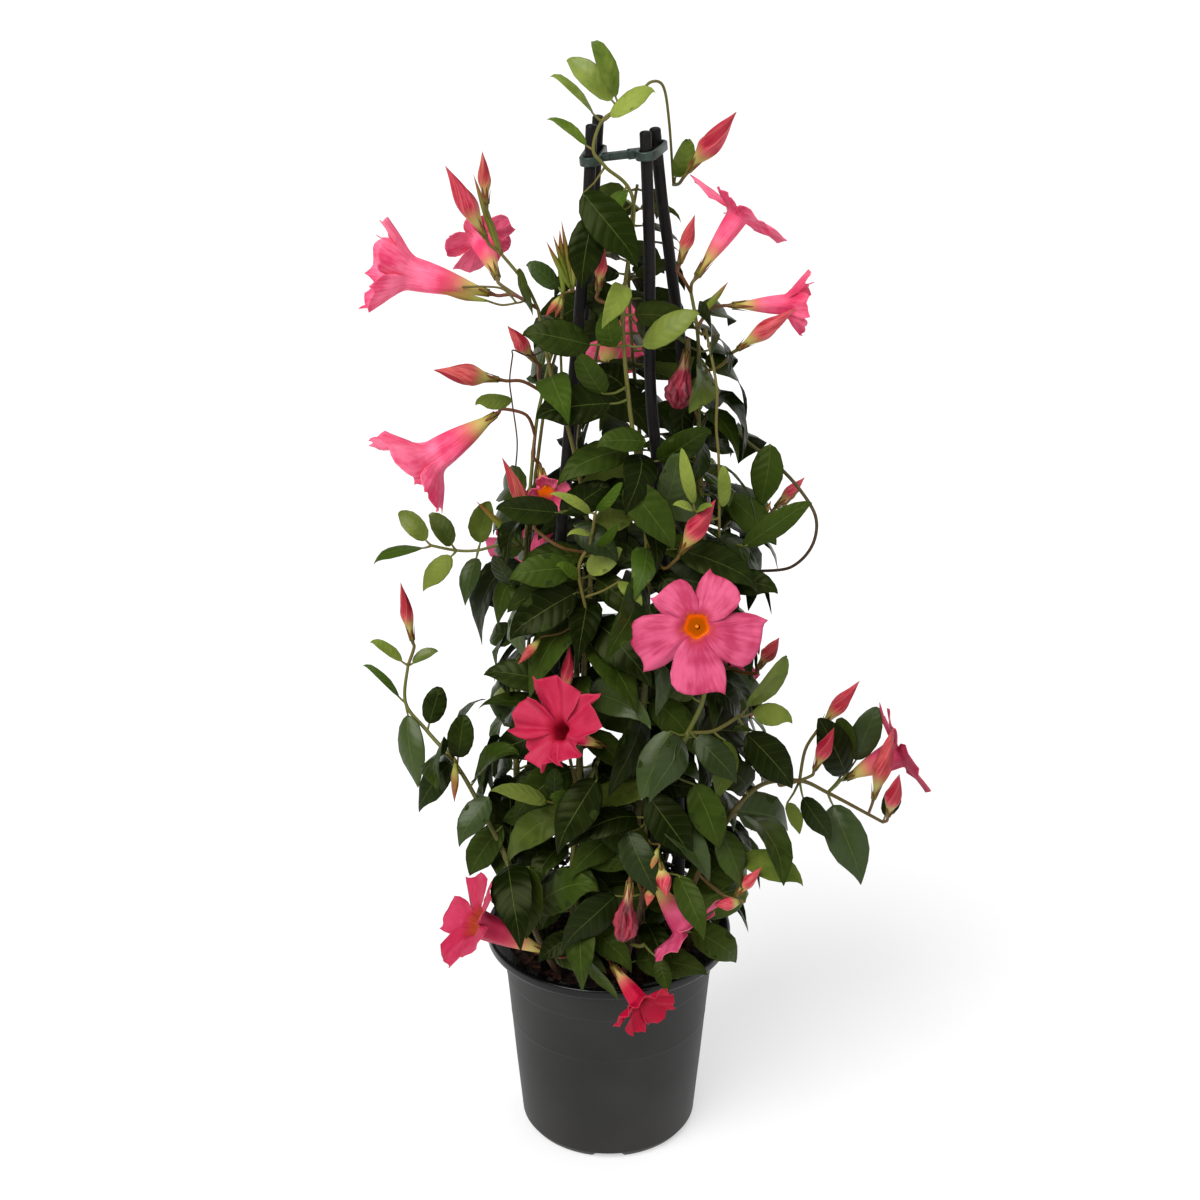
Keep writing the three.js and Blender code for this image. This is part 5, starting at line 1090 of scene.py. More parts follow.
def blade_rings(leaves, stem):
    """midline(v) + s * w(v) * across + height(s, v) * normal, over the top and back below."""
    keys = ("base", "middle", "outer", "tip")
    lines = [spline([one[key] for key in keys], 8) for one in leaves]
    place = np.arange(25) / 24
    mid = [[np.interp(ROWS, place, line[:, k]) for k in range(3)] for line in lines]
    mid = np.array(mid).transpose(0, 2, 1)
    rolls = [[draw(stem, SHAPE_DRAWS + i, 0, channel) for channel in range(8)] for i in range(len(leaves))]
    rolls = np.array(rolls)
    long = np.linalg.norm(mid[:, -1] - mid[:, 0], axis=1)
    hang = (0.6 + 1.6 * rolls[:, 6, None]) * long[:, None]
    mid[:, :, 2] -= hang * np.maximum(0, ROWS - HANGS_FROM) ** 2
    tangent = unit(np.gradient(mid, axis=1))
    across = np.array([one["across"] for one in leaves])[:, None]
    normal = unit(np.cross(tangent, across))
    across = np.cross(normal, tangent)
    twist = ((rolls[:, 7, None] - 0.5) * 1.2 * (ROWS - 0.35))[..., None]
    cosine, sine = np.cos(twist), np.sin(twist)
    across, normal = across * cosine + normal * sine, normal * cosine - across * sine
    v = ROWS[None, :, None]
    share = np.concatenate([-np.array(ACROSS[:0:-1]), ACROSS])
    s = np.concatenate([share, share[-2:0:-1]])[None, None]
    below = np.concatenate([np.zeros(len(share)), np.ones(len(share) - 2)])[None, None]
    x, z = mid[:, -1, 0], mid[:, -1, 2]
    slender = 0.13 * smooth(610, 690, z) + 0.05 * smooth(95, 125, -x) * smooth(380, 420, z)
    half = np.minimum([one["width"] for one in leaves], (BROADEST - slender) * long)[:, None, None] * 0.5
    wide = half * WIDTHS[None, :, None]
    fold = 0.1 + 0.4 * rolls[:, 0, None, None]
    droop = 0.06 + 0.32 * rolls[:, 1, None, None]
    wave = 0.02 + 0.08 * rolls[:, 2, None, None]
    phase = rolls[:, 3, None, None] * 2 * np.pi
    beat = np.sin(v * 2 * np.pi * (1.6 + rolls[:, 4, None, None]) + phase + np.sign(s) * 1.3)
    roll = (rolls[:, 5, None, None] - 0.5) * 0.9
    height = wide * (fold * np.abs(s) - droop * s**2 + wave * beat * s**2 + roll * s)
    height = height - below * BLADE * (1 - s**2) * np.minimum(1, wide / 3)
    turn = 1 - 0.12 * (fold + np.abs(roll))
    shape = mid[:, :, None] + across[:, :, None] * (wide * s * turn)[..., None]
    return shape + normal[:, :, None] * height[..., None]


def petiole_line(one):
    """Leaves the stem, dips a little and runs into the underside of the midrib."""
    run = one["base"] - one["root"]
    sag = np.array([0, 0, -0.08]) * np.linalg.norm(run)
    into = one["base"] + 0.16 * (one["middle"] - one["base"])
    normal = unit(np.cross(one["tip"] - one["base"], one["across"]))
    route = [one["root"], one["root"] + run * 0.5 + sag, one["base"] - normal * 0.5, into - normal * 0.7]
    return spline(route, 2)


print("one blade has", 4 * (len(ACROSS) - 1) * (len(ROWS) - 1), "quads")

# %% [markdown]
# ## Stems, stalks and calyces
# A stem is a pipe that thins towards its tip and swells at the joints where leaves stand. Old
# wood near the ground turns green higher up. Each bloom and bud sits on a stalk with a
# slightly wider end and five narrow sepals that lie against the tube.

# %% Stem pieces
STALKS = {**BLOOMS, **WILTED, **BUDS}
STALK_RADIUS = 1.1
GAP = 0.3  # what sits on a stalk starts this far from its end
STALK_SIDES, SEPALS = 8, 5
SEPAL_DRAWS = 600
SEPAL_RING = np.array([[-1, 0], [0, 0.45], [1, 0], [0, -0.45]])


def wood_share(heights, woody_to):
    """1 near the ground, and an S-curve down to 0 where the stem has turned green."""
    return 1 - smooth(woody_to - 130, woody_to + 60, heights)


def add_stem(shells, line, radii, tint, sides=9, joints=()):
    """A pipe whose radius follows the line, with a swelling at each joint."""
    reach = lengths(line)
    radius = np.interp(reach, [0, reach[-1]], radii) * (1 - 0.2 * smooth(300, 450, line[:, 2]))
    for joint in joints:
        radius = radius + 0.5 * np.exp(-(((reach - joint) / 2.6) ** 2))
    shells.tube(pipe(line, radius, sides), tint=tint, slot=0)


def stalk_line(main, spec):
    """From its root through its waypoints, arriving along the axis of what it carries."""
    end = np.array(spec["at"], float)
    axis = unit(np.array(spec["tip"]) - end)
    route = [root_point(main, spec["root"]), *spec["via"], end - axis * 7, end - axis * 3, end + axis * 0.4]
    return spline(route, 5), end, axis


def side_frame(axis, turn):
    """Two directions across an axis, turned about it."""
    helper = np.array([1.0, 0, 0]) if abs(axis[2]) > 0.9 else np.array([0, 0, 1.0])
    first = unit(helper - axis * helper.dot(axis))
    second = np.cross(axis, first)
    c, s = np.cos(turn), np.sin(turn)
    return first * c + second * s, second * c - first * s


def add_sepals(shells, end, axis, radius, length, flare, number):
    """Five flat, pointed blades whose feet stand round the stalk's end. They lie against
    what they hold, so they flare as much as that widens."""
    for k in range(SEPALS):
        out, aside = side_frame(axis, 2 * np.pi * (k / SEPALS + draw(SEPAL_DRAWS, number, k, 0) * 0.06))
        reach = length * (0.8 + 0.4 * draw(SEPAL_DRAWS, number, k, 1))
        v = np.linspace(0, 1, 7)[:, None]
        mid = end + axis * (v * reach - 1.2) + out * (radius + 0.25 + flare * v**1.5)
        wide = np.interp(v, [0, 0.25, 0.7, 1], [0.9, 1.15, 0.6, 0.06])
        rings = mid[:, None] + (wide * SEPAL_RING[:, 0])[..., None] * aside
        rings = rings + (wide * SEPAL_RING[:, 1] * 0.8)[..., None] * out
        shells.tube(rings, slot=2)


def add_spindle(shells, base, tip, profile, sides, tint, slot, rows=25, twist=0.0, ridge=0.0, turn=0.0):
    """A body of revolution from base to tip, its outline a smooth line through the profile.
    Five ridges, each steep on one side like a rolled petal's edge, wind round with the twist."""
    axis = unit(tip - base)
    first, second = side_frame(axis, turn)
    v = np.linspace(0, 1, rows)[:, None]
    radius = np.interp(v, *zip(*profile))
    radius[1:-1] = (radius[:-2] + 2 * radius[1:-1] + radius[2:]) / 4
    column = np.arange(sides)[None]
    angle = column * 2 * np.pi / sides + twist * v
    swell = 1 + ridge * (0.5 - (5 * column / sides) % 1) * smooth(0.2, 0.45, v) * smooth(1.02, 0.8, v)
    course = base + axis * v * np.linalg.norm(tip - base)
    rings = course[:, None] + spokes(angle, first, second) * (radius * swell)[..., None]
    shells.tube(rings, tint=tint, slot=slot)


def ends_of(spec):
    """Where a bloom or bud starts and where it ends."""
    return np.array(spec["at"], float), np.array(spec["tip"], float)


PETIOLE = np.linspace(1.0, 0.45, 7)  # its radii
GREEN_BUD = [(0, 0.35), (0.35, 1.0), (0.6, 0.85), (0.85, 0.35), (1, 0.04)]
print("stalks to grow:", len(STALKS))

# %% [markdown]
# ## Young and old leaves
# Leaves near the tips of the stems are young, paler and smaller. The plant's top and its left
# arm are lighter, so youth follows height and side there. A few more young leaves are named by
# where their tips are.

# %% Youth of a leaf
YOUTH_DRAWS, TINT_DRAWS = 3000, 4000
NEAR_FRESH = 14
FRESH = np.array([(-2, -46, 616), (54, -42, 612), (-76, -92, 313), (112, -68, 398), (126, -86, 243)])


def youth_of(one, stem, number):
    """More at the top of the plant and on its far left arm, more in small leaves, and a
    chance of a fresh one anywhere."""
    x, y, z = one["tip"]
    high = smooth(600, 720, z)
    left_arm = smooth(95, 130, -x) * smooth(390, 420, z) * 0.75
    low_tips = smooth(135, 165, -x) * 0.6
    named = 0.6 * (np.linalg.norm(FRESH - one["tip"], axis=1).min() < NEAR_FRESH)
    chance = 0.75 * smooth(0.84, 0.96, draw(stem, YOUTH_DRAWS + number, 0, 0))
    small = 0.4 * smooth(17, 9, one["width"])
    return float(np.clip(max(high, left_arm, low_tips, named, chance) + small, 0.04, 1))


# %% Make the leafy stems
ROOT_DEPTH = 120  # stems go on straight down to this height, inside the soil
WOODY = dict(vine_right_loop=540, vine_front_middle=330, vine_front_right=300)  # height of the wood's end
USUAL_WOODY = 260


def make_vine(name, stem, vine):
    """One stem with its shoots, stalks, sepals, green buds, leaves and petioles."""
    shells = Shells()
    rows = branches(vine)
    woody_to = WOODY.get(name, USUAL_WOODY)
    for branch, (line, radius, pairs) in enumerate(rows):
        joints = pair_starts(line, pairs) if pairs else np.zeros(0)
        if branch == 0:
            joints = joints + line[0, 2] - ROOT_DEPTH
            line = np.vstack([line[:1] * (1, 1, 0) + (0, 0, ROOT_DEPTH), line])
        wood = wood_share(line[:, 2], woody_to) if branch == 0 else np.zeros(len(line))
        red = np.full(len(line), 0.35 * draw(stem, branch, 0, 5))
        chance = np.full(len(line), draw(stem, branch, 0, 6))
        add_stem(shells, line, radius, np.stack([wood, red, chance, np.ones(len(line))], 1), joints=joints)
    for number, (part, spec) in enumerate(STALKS.items()):
        if spec["vine"] != name:
            continue
        line, end, axis = stalk_line(rows[0][0], spec)
        bloom_like = part.startswith(("bloom", "wilted"))
        cup = 2.0 if bloom_like else 1.45
        reach = lengths(line)
        radius = STALK_RADIUS + (cup - STALK_RADIUS) * smooth(reach[-1] - 5, reach[-1] - 0.5, reach)
        tint = (0, 0.2 + 0.7 * draw(stem, number, 1, 5), 0, 1)
        shells.tube(pipe(line, radius, STALK_SIDES), tint=tint, slot=0)
        flare = 1.7 if bloom_like else 0.45 * spec["radius"]
        add_sepals(shells, end, axis, cup, 13 if bloom_like else 9 + spec["radius"] * 0.5, flare, number)
    for number, (base, tip, radius) in enumerate(vine["green_buds"]):
        profile = [(v, r * radius) for v, r in GREEN_BUD]
        ends = np.array(base, float), np.array(tip, float)
        add_spindle(shells, *ends, profile, 15, (1, 0.5, 0, 1), 3, rows=13, twist=2.0, ridge=0.25)
    leaves = LEAVES[name] + EXTRA[name]
    rings = blade_rings(leaves, stem)
    for number, one in enumerate(leaves):
        youth = youth_of(one, stem, number)
        # This share gives a leaf its clear coat and a grey-green painted sheen.
        wax_and_painted_sheen = 0.75 * smooth(0.72, 0.97, draw(stem, TINT_DRAWS + number, 0, 2))
        tint = (youth, draw(stem, TINT_DRAWS + number, 0, 1), wax_and_painted_sheen, 1)
        shells.tube(rings[number], tint=tint, slot=1, turns=2.0, flip=True, heights=ROWS)
        shells.tube(pipe(petiole_line(one), PETIOLE, 5), tint=(0, 0.3 * youth, 0, 1), slot=0)
    return shells.make(name + "_leafy", [STEM, LEAF, SEPAL, BUD], [name])


for stem, (name, vine) in enumerate(VINES.items()):
    piece = make_vine(name, stem, vine)
    print(name, "leaves", len(LEAVES[name]) + len(EXTRA[name]), "triangles", triangles(piece))

# %% [markdown]
# ## Blooms
# A mandevilla corolla is a slender tube that opens into a bell, and then into five lobes. Each
# lobe is lopsided, with a point on one side, and overlaps the next like the blades of a
# pinwheel. One sheet makes it: rows up the tube go all the way round, and from the rim on each
# lobe has rows of its own. The profile turns from the bell's slope to the lobes' opening
# angle, and its sines and cosines are summed step by step into a radius and a height. A second
# sheet, set off by the petal's thickness, closes the shell.

# %% Corolla
LOBES = 5
LOBE_CELLS = 14
TUBE_ROWS = 16
LOBE_ROWS = 16
AROUND = LOBES * LOBE_CELLS
PETAL_THICKNESS = 0.45
BLOOM_DRAWS = 900
TUBE_Q = [0, 0.08, 0.16, 0.26, 0.38, 0.5, 0.65, 0.82, 1]
TUBE_SHARE = [0.19, 0.23, 0.32, 0.44, 0.58, 0.7, 0.82, 0.92, 1]
LOBE_S = np.array([-1, -0.88, -0.72, -0.54, -0.34, -0.12, 0.08, 0.26, 0.4, 0.5, 0.58, 0.66, 0.76, 0.88, 1])
LOBE_REACH = np.array([0.5, 0.72, 0.9, 0.98, 1, 0.99, 0.98, 0.98, 1, 1.04, 1.12, 1.01, 0.88, 0.7, 0.48])
THROAT = dict(bloom_front=8, bloom_front_left=6, bloom_top_right=6.5, bloom_upper_right=6)
USUAL_FULL = 0.1
FULL = dict(  # how much of the notches between the lobes is filled
    bloom_upper_left=0.6, bloom_middle_left=0.7, bloom_front_left=0.4, bloom_pot_front=0.6,
    bloom_low_right=0.5)


def usual_throat(spec):
    """The radius of the throat's rim, which grows with the bloom."""
    return min(10, 2 + spec["spread"] * 0.3)


def lobe_columns(lobe):
    """The columns of the tube's last row from which a lobe grows."""
    return (lobe * LOBE_CELLS + np.arange(LOBE_CELLS + 1)) % AROUND


def corolla_sheet(spec, number, ruffle, throat, sizes, full):
    """Points of the tube's rows and of the lobes' rows, in the bloom's own frame: two across
    the axis and one along it. Along a lobe the radius sums the steps times the sine of their
    tilt, and the height sums them times its cosine. A wave then lifts the points off it."""
    depth = np.linalg.norm(np.array(spec["tip"]) - spec["at"])
    narrower = usual_throat(spec) - throat
    s = LOBE_S
    outline = LOBE_REACH + full * np.maximum(0, 1 - LOBE_REACH)
    angle = (np.arange(LOBES)[:, None] + s[None, :-1] / 2).ravel() * 2 * np.pi / LOBES
    q = np.linspace(0, 1, TUBE_ROWS + 1)[:, None]
    pleat = 0.07 * np.cos(LOBES * angle) * smooth(0.3, 0.8, q)
    radius = np.interp(q, TUBE_Q, np.maximum(np.array(TUBE_SHARE) * throat, 1.9)) * (1 + pleat)
    along_axis = np.broadcast_to(q * depth, radius.shape)
    tube = np.stack([radius * np.cos(angle), radius * np.sin(angle), along_axis], -1)
    t = np.linspace(0, 1, LOBE_ROWS + 1)[:, None]
    lobes = []
    for lobe in range(LOBES):
        roll = [draw(BLOOM_DRAWS + number, lobe, 0, channel) for channel in range(6)]
        tilt_open = (spec["open"] + (roll[0] - 0.5) * 0.24) * np.pi / 2
        reach = (spec["spread"] * sizes[lobe] + narrower) * (0.95 + 0.1 * roll[1]) * outline
        curl = (0.1 + 0.35 * roll[2]) * t**2 * (0.3 + spec["open"])
        tilt = tilt_open * (0.3 + 0.7 * smooth(0, 0.34, t)) + curl + (roll[3] - 0.5) * 0.3 * s * t
        step = np.vstack([np.zeros((1, len(s))), np.repeat(reach[None] / LOBE_ROWS, LOBE_ROWS, 0)])
        rim = throat * (1 + 0.07 * np.cos(np.pi * s))
        rho = rim + np.cumsum(np.sin(tilt) * step, 0)
        height = depth + np.cumsum(np.cos(tilt) * step, 0)
        spreading = 1 + (0.06 + 0.06 * min(ruffle, 2.5)) * smooth(0, 0.35, t) - 0.12 * smooth(0.6, 1, t)
        theta = 2 * np.pi / LOBES * (lobe + s * 0.5 * spreading + 0.05 * t * t)
        wave = np.sin(np.pi * (2.2 * s + 2 * roll[4])) * 0.9 + np.sin(np.pi * (4.1 * s + 2 * roll[5])) * 0.4
        lift = -1.5 * s * smooth(0.05, 0.5, t) + ruffle * wave * t**1.5 - 1.6 * (1 - s**2) * np.sin(np.pi * t)
        rho = rho - lift * np.cos(tilt)
        height = height + lift * np.sin(tilt)
        lobes.append(np.stack([rho * np.cos(theta), rho * np.sin(theta), height], -1))
        lobes[-1][0] = tube[-1, lobe_columns(lobe)]
    return tube, np.array(lobes)


def sheet_normals(grid, closed):
    """The cross product of the steps along the two ways of a grid."""
    if closed:
        round_ = np.roll(grid, -1, 1) - np.roll(grid, 1, 1)
    else:
        round_ = np.gradient(grid, axis=1)
    return unit(np.cross(round_, np.gradient(grid, axis=0)))


def add_corolla(shells, spec, number, tint, *shape):
    """Joins the sheet, its copy on the other side of the petal and the cut edges between."""
    tube, lobes = corolla_sheet(spec, number, *shape)
    normals = [sheet_normals(tube, True)] + [sheet_normals(lobe, False) for lobe in lobes]
    for k, normal in enumerate(normals[1:]):
        normal[0] = normals[0][-1, lobe_columns(k)]
    half = PETAL_THICKNESS / 2
    base, tip = ends_of(spec)
    axis = unit(tip - base)
    turned = np.stack([*side_frame(axis, math.radians(spec["turn"])), axis])
    sheets = []
    for side in (half, -half):
        parts = [tube + normals[0] * side]
        parts += [(lobe + normal * side)[1:] for lobe, normal in zip(lobes, normals[1:])]
        sheets.append(np.vstack([part.reshape(-1, 3) for part in parts]))
    points = np.vstack(sheets) @ turned + base + axis * GAP
    index = np.arange((TUBE_ROWS + 1) * AROUND).reshape(TUBE_ROWS + 1, AROUND)
    closed = np.hstack([index, index[:, :1]])
    grids = [(closed, np.arange(AROUND + 1) / LOBE_CELLS, np.linspace(0, 0.5, TUBE_ROWS + 1))]
    across, up = np.linspace(0, 1, LOBE_CELLS + 1), np.linspace(0.5, 1, LOBE_ROWS + 1)
    start = index.size
    for lobe in range(LOBES):
        own = start + np.arange(LOBE_ROWS * (LOBE_CELLS + 1)).reshape(LOBE_ROWS, LOBE_CELLS + 1)
        start += own.size
        grids.append((np.vstack([index[-1, lobe_columns(lobe)], own]), lobe + across, up))
    faces, uvs = [], []
    count = len(sheets[0])
    for grid, u, v in grids:
        quads = cells(grid).reshape(-1, 4)
        corner = cell_uvs(u, v)
        faces += [quads, quads[:, ::-1] + count]
        uvs += [corner, corner[:, ::-1] + (10, 0)]
    for grid, u, v in grids[1:]:
        rim = np.concatenate([grid[:, 0], grid[-1][1:], grid[::-1, -1][1:]])
        line = np.stack([rim[:-1], rim[1:], rim[1:] + count, rim[:-1] + count], 1)
        faces.append(line)
        uvs.append(np.full((len(line), 4, 2), (20.5, 0.95)))
    foot = np.stack([np.roll(index[0], -1), index[0], index[0] + count, np.roll(index[0], -1) + count], 1)
    faces.append(foot)
    uvs.append(np.full((len(foot), 4, 2), (0.5, 0.01)))
    shells.add(points, np.vstack(faces), np.vstack(uvs), tint, 0)
    return base, axis


# %% [markdown]
# ## How each bloom differs
# Fresh wide blooms are clear pink and nearly flat, and paler the higher they stand on the
# plant. Half-open ones are deeper and more ruffled. Some lobes are longer than others.
# A small pale cone of anthers stands deep in every throat, lifted by a little painted glow.

# %% Make the blooms
DEEP = dict(
    bloom_upper_right=0.25, bloom_front_left=0.75, bloom_pot_front=1.0, bloom_low_left=0.6,
    bloom_right=0.4, bloom_middle_hidden=0.2)
LOBE_SIZES = dict(
    bloom_front=[0.72, 1.16, 1.17, 1.1, 0.86], bloom_front_left=[1.4, 1.25, 1.0, 0.8, 1.4],
    bloom_middle_left=[1.2, 0.85, 0.85, 0.95, 1.2], bloom_pot_front=[1.3, 1.2, 1.3, 1.4, 1.3],
    bloom_upper_right=[0.9, 0.75, 0.7, 0.8, 0.9],
    bloom_upper_left_back=[0.85, 1, 1.1, 1.05, 0.8], bloom_top_right=[0.7, 0.95, 1.05, 0.7, 1.15])
USUAL_RUFFLE = 1.2
RUFFLE = dict(bloom_front=0.7, bloom_front_left=5.5, bloom_pot_front=2.2, bloom_low_right=1.6)
ANTHER_CONE = [(0, 1.0), (0.5, 1.3), (1, 0.1)]
ANTHERS_FROM, ANTHERS_TO = 0.4, 0.8  # shares of the tube's depth


def make_bloom(name, spec, number):
    """A corolla, and the cone of anthers on its axis."""
    shells = Shells()
    tint = (DEEP.get(name, 0), draw(BLOOM_DRAWS + number, 9, 0, 0), smooth(430, 520, spec["tip"][2]), 1)
    shape = (
        RUFFLE.get(name, USUAL_RUFFLE), THROAT.get(name, usual_throat(spec)),
        LOBE_SIZES.get(name, [1] * LOBES), FULL.get(name, USUAL_FULL))
    base, axis = add_corolla(shells, spec, number, tint, *shape)
    depth = np.linalg.norm(np.array(spec["tip"]) - spec["at"])
    foot, top = (base + axis * depth * share for share in (ANTHERS_FROM, ANTHERS_TO))
    add_spindle(shells, foot, top, ANTHER_CONE, 8, tint, 1)
    return shells.make(name + "_corolla", [PETAL, ANTHERS], [name])


for number, (name, spec) in enumerate(BLOOMS.items()):
    piece = make_bloom(name, spec, number)
print("blooms:", len(BLOOMS), "each of", triangles(piece), "triangles")

# %% [markdown]
# ## Buds and wilted blooms
# A bud has a slim foot that swells into a rolled, pointed body. The outline is a short profile,
# and the five rolled edges are a sawtooth in the radius that winds round as it rises. Some are
# still salmon, others already pink.

# %% Make the buds
BUD_FOOT = [(0, 1.5), (0.1, 1.7)]
BUD_BODY = [
    (0.2, 0.56), (0.3, 0.84), (0.4, 1.0), (0.5, 0.98), (0.62, 0.8), (0.75, 0.54), (0.88, 0.26), (1, 0.03)]
BUD_DRAWS = 950
WARMTH = dict(
    bud_upper_left_large=0.05, bud_upper_left_small=0.7, bud_middle_left=0.45, bud_left_inner=0.65,
    bud_far_left=0.35, bud_top_right=0.1, bud_centre_right=0.0, bud_right_inner=0.55)


def make_bud(name, spec, number):
    """A spindle whose radius follows the foot, then the body."""
    shells = Shells()
    base, tip = ends_of(spec)
    base = base + unit(tip - base) * GAP
    profile = BUD_FOOT + [(v, share * spec["radius"]) for v, share in BUD_BODY]
    chance = draw(BUD_DRAWS, number, 0, 0)
    tint = (0, chance, WARMTH.get(name, 0.4 * chance), 1)
    add_spindle(shells, base, tip, profile, 30, tint, 0, rows=33, twist=2.2, ridge=0.24, turn=chance * 6)
    return shells.make(name + "_rolled", [BUD], [name])


for number, (name, spec) in enumerate(BUDS.items()):
    piece = make_bud(name, spec, number)
print("buds:", len(BUDS), "each of", triangles(piece), "triangles")

# %% Make the wilted blooms
WILTED_PROFILE = [(0, 1.6), (0.2, 2.4), (0.36, 0.5), (0.55, 0.8), (0.72, 1.0), (0.88, 0.85), (1, 0.3)]


def make_wilted(name, spec, number):
    """A collapsed corolla: the radius is cut by sharp folds that drift as they go down."""
    shells = Shells()
    base, tip = ends_of(spec)
    axis = unit(tip - base)
    first, second = side_frame(axis, 0)
    v = np.linspace(0, 1, 40)[:, None]
    angle = (np.arange(64) * 2 * np.pi / 64)[None]
    profile = [(q, r if q < 0.3 else r * spec["radius"]) for q, r in WILTED_PROFILE]
    radius = np.interp(v, *zip(*profile))
    folds = np.abs(np.sin(2.5 * angle + 3 * v + number)) * 0.5 + np.abs(np.sin(4.5 * angle - 5 * v)) * 0.3
    crumple = 0.12 * np.sin(9 * angle + 14 * v) * np.sin(21 * v)
    radius = radius * (1 - smooth(0.15, 0.5, v) * (0.55 - folds - crumple))
    drift = np.sin(v * 9 + number) * 1.2 * v
    course = base + axis * (GAP + v * np.linalg.norm(tip - base)) + first * drift
    shells.tube(course[:, None] + spokes(angle, first, second) * radius[..., None])
    return shells.make(name + "_folds", [WITHERED], [name])


for number, (name, spec) in enumerate(WILTED.items()):
    make_wilted(name, spec, number)
print("wilted blooms:", len(WILTED))

# %% [markdown]
# ## Small shoots
# Young shoots stand between the main leaves: closed buds no longer than a fingernail, bright
# folded leaves and a few thin twigs. Each is written down by its two ends. Its stalk starts at
# the nearest stem or twig and arrives from behind, so nothing floats.

# %% Small shoots
TWIGS = [  # radius, and points from the root end to the tip
    (0.5, [(-59, -40, 583), (-61, -42, 568), (-60, -42, 555), (-57, -44, 530), (-58, -46, 513)]),
    (0.9, [(59, -30, 593), (65, -44, 564), (65, -49, 540), (67, -52, 517), (68, -56, 470)]),
    (0.7, [(-57, -18, 609), (-66, -19, 608), (-75, -20, 611)]),
    (0.7, [(-57, -18, 609), (-65, -16, 617), (-76, -17, 619), (-90, -18, 619)]),
    (1.1, [(-14, -62, 420), (-19, -64, 446), (-18, -65, 458), (-12, -65, 470), (-9, -64, 489)]),
    (0.8, [(-15, -62, 432), (-4, -66, 438), (6, -70, 446)]),
    (0.8, [(67, -55, 482), (58, -64, 485), (52, -72, 494)]),
]
SMALL_BUDS = [  # foot, tip, radius, share of green, warmth
    ((-24, -31, 622), (-38, -38, 653), 1.8, 1.0, 0), ((-24, -31, 622), (-34, -34, 656), 1.6, 1.0, 0),
    ((-23, -30, 622), (-29, -28, 663), 1.7, 0.8, 1), ((-23, -29, 622), (-26, -25, 650), 1.6, 1.0, 0),
    ((-22, -30, 622), (-21, -36, 656), 1.8, 0.7, 1), ((-22, -29, 622), (-17, -31, 648), 1.5, 1.0, 0),
    ((-30, -34, 618), (-39, -38, 606), 2.2, 0.2, 0.8), ((-29, -34, 617), (-33, -34, 604), 2.0, 0.3, 1),
    ((-75, -20, 611), (-105, -24, 618), 2.2, 0.7, 0.6), ((98, -10, 463), (94, -12, 487), 1.5, 0.9, 1),
    ((98, -10, 463), (100, -8, 487), 1.4, 1.0, 0), ((98, -10, 463), (103, -14, 478), 1.5, 0.7, 1),
    ((-44, -72, 407), (-57, -84, 396), 3.0, 0.1, 0.5), ((-25, -60, 416), (-20, -64, 405), 2.4, 0.0, 0.0),
    ((27, -109, 250), (24, -114, 239), 3.2, 0.0, 0.9), ((31, -103, 275), (25, -110, 260), 2.6, 0.5, 1.0),
    ((84, -96, 231), (68, -102, 232), 4.4, 0.0, 0.1), ((-99, -70, 319), (-100, -73, 292), 2.6, 0.5, 1.0),
]
SMALL_LEAVES = [  # foot, tip, width, way it faces, youth
    ((-12, -65, 490), (-36, -83, 511), 8, (-0.3, -1, 0.9), 0.95),
    ((-8, -65, 491), (8, -81, 519), 7, (0.5, -1, 0.5), 0.95),
    ((-11, -67, 476), (-26, -83, 484), 7, (0, -1, 1), 0.9),
    ((-8, -66, 467), (5, -83, 492), 9, (0.4, -1, 0.4), 0.9),
    ((51, -71, 498), (43, -75, 538), 9, (-0.2, -1, 0.2), 0.85),
    ((51, -73, 495), (38, -85, 504), 7, (0, -1, 1), 0.95),
    ((53, -73, 494), (62, -85, 503), 7, (0.2, -1, 0.8), 0.95),
    ((70, -60, 492), (69, -59, 521), 9, (0.2, -1, 0), 0.7),
    ((-10, -36, 668), (-17, -50, 630), 26, (-0.3, -1, 0.2), 0.05),
    ((-16, -38, 682), (16, -54, 646), 32, (0, -1, 0.3), 0.12),
    ((-55, -16, 630), (-47, -22, 604), 9, (-0.6, -1, 0.2), 0.2),
    ((-19, -64, 446), (-33, -76, 462), 9, (-0.2, -1, 0.8), 0.8),
    ((6, -70, 446), (20, -84, 438), 10, (0.2, -1, 0.6), 0.75),
    ((-60, -42, 554), (-82, -45, 556), 13, (0, -1, 0.1), 0.6),
]
SMALL_STEM = 40  # these shoots' own number in the draws
SMALL_STALK_RADIUS = 0.7


def small_stalk(points, end, behind):
    """From the nearest stem to a foot, arriving along the way that the small piece points."""
    near = points[np.argmin(np.linalg.norm(points - end, axis=1))]
    reach = np.linalg.norm(end - near)
    middle = near + (end - near) * 0.5 - (0, 0, 0.1 * reach)
    return spline([near, middle, end - behind * min(3, reach * 0.3), end], 4)


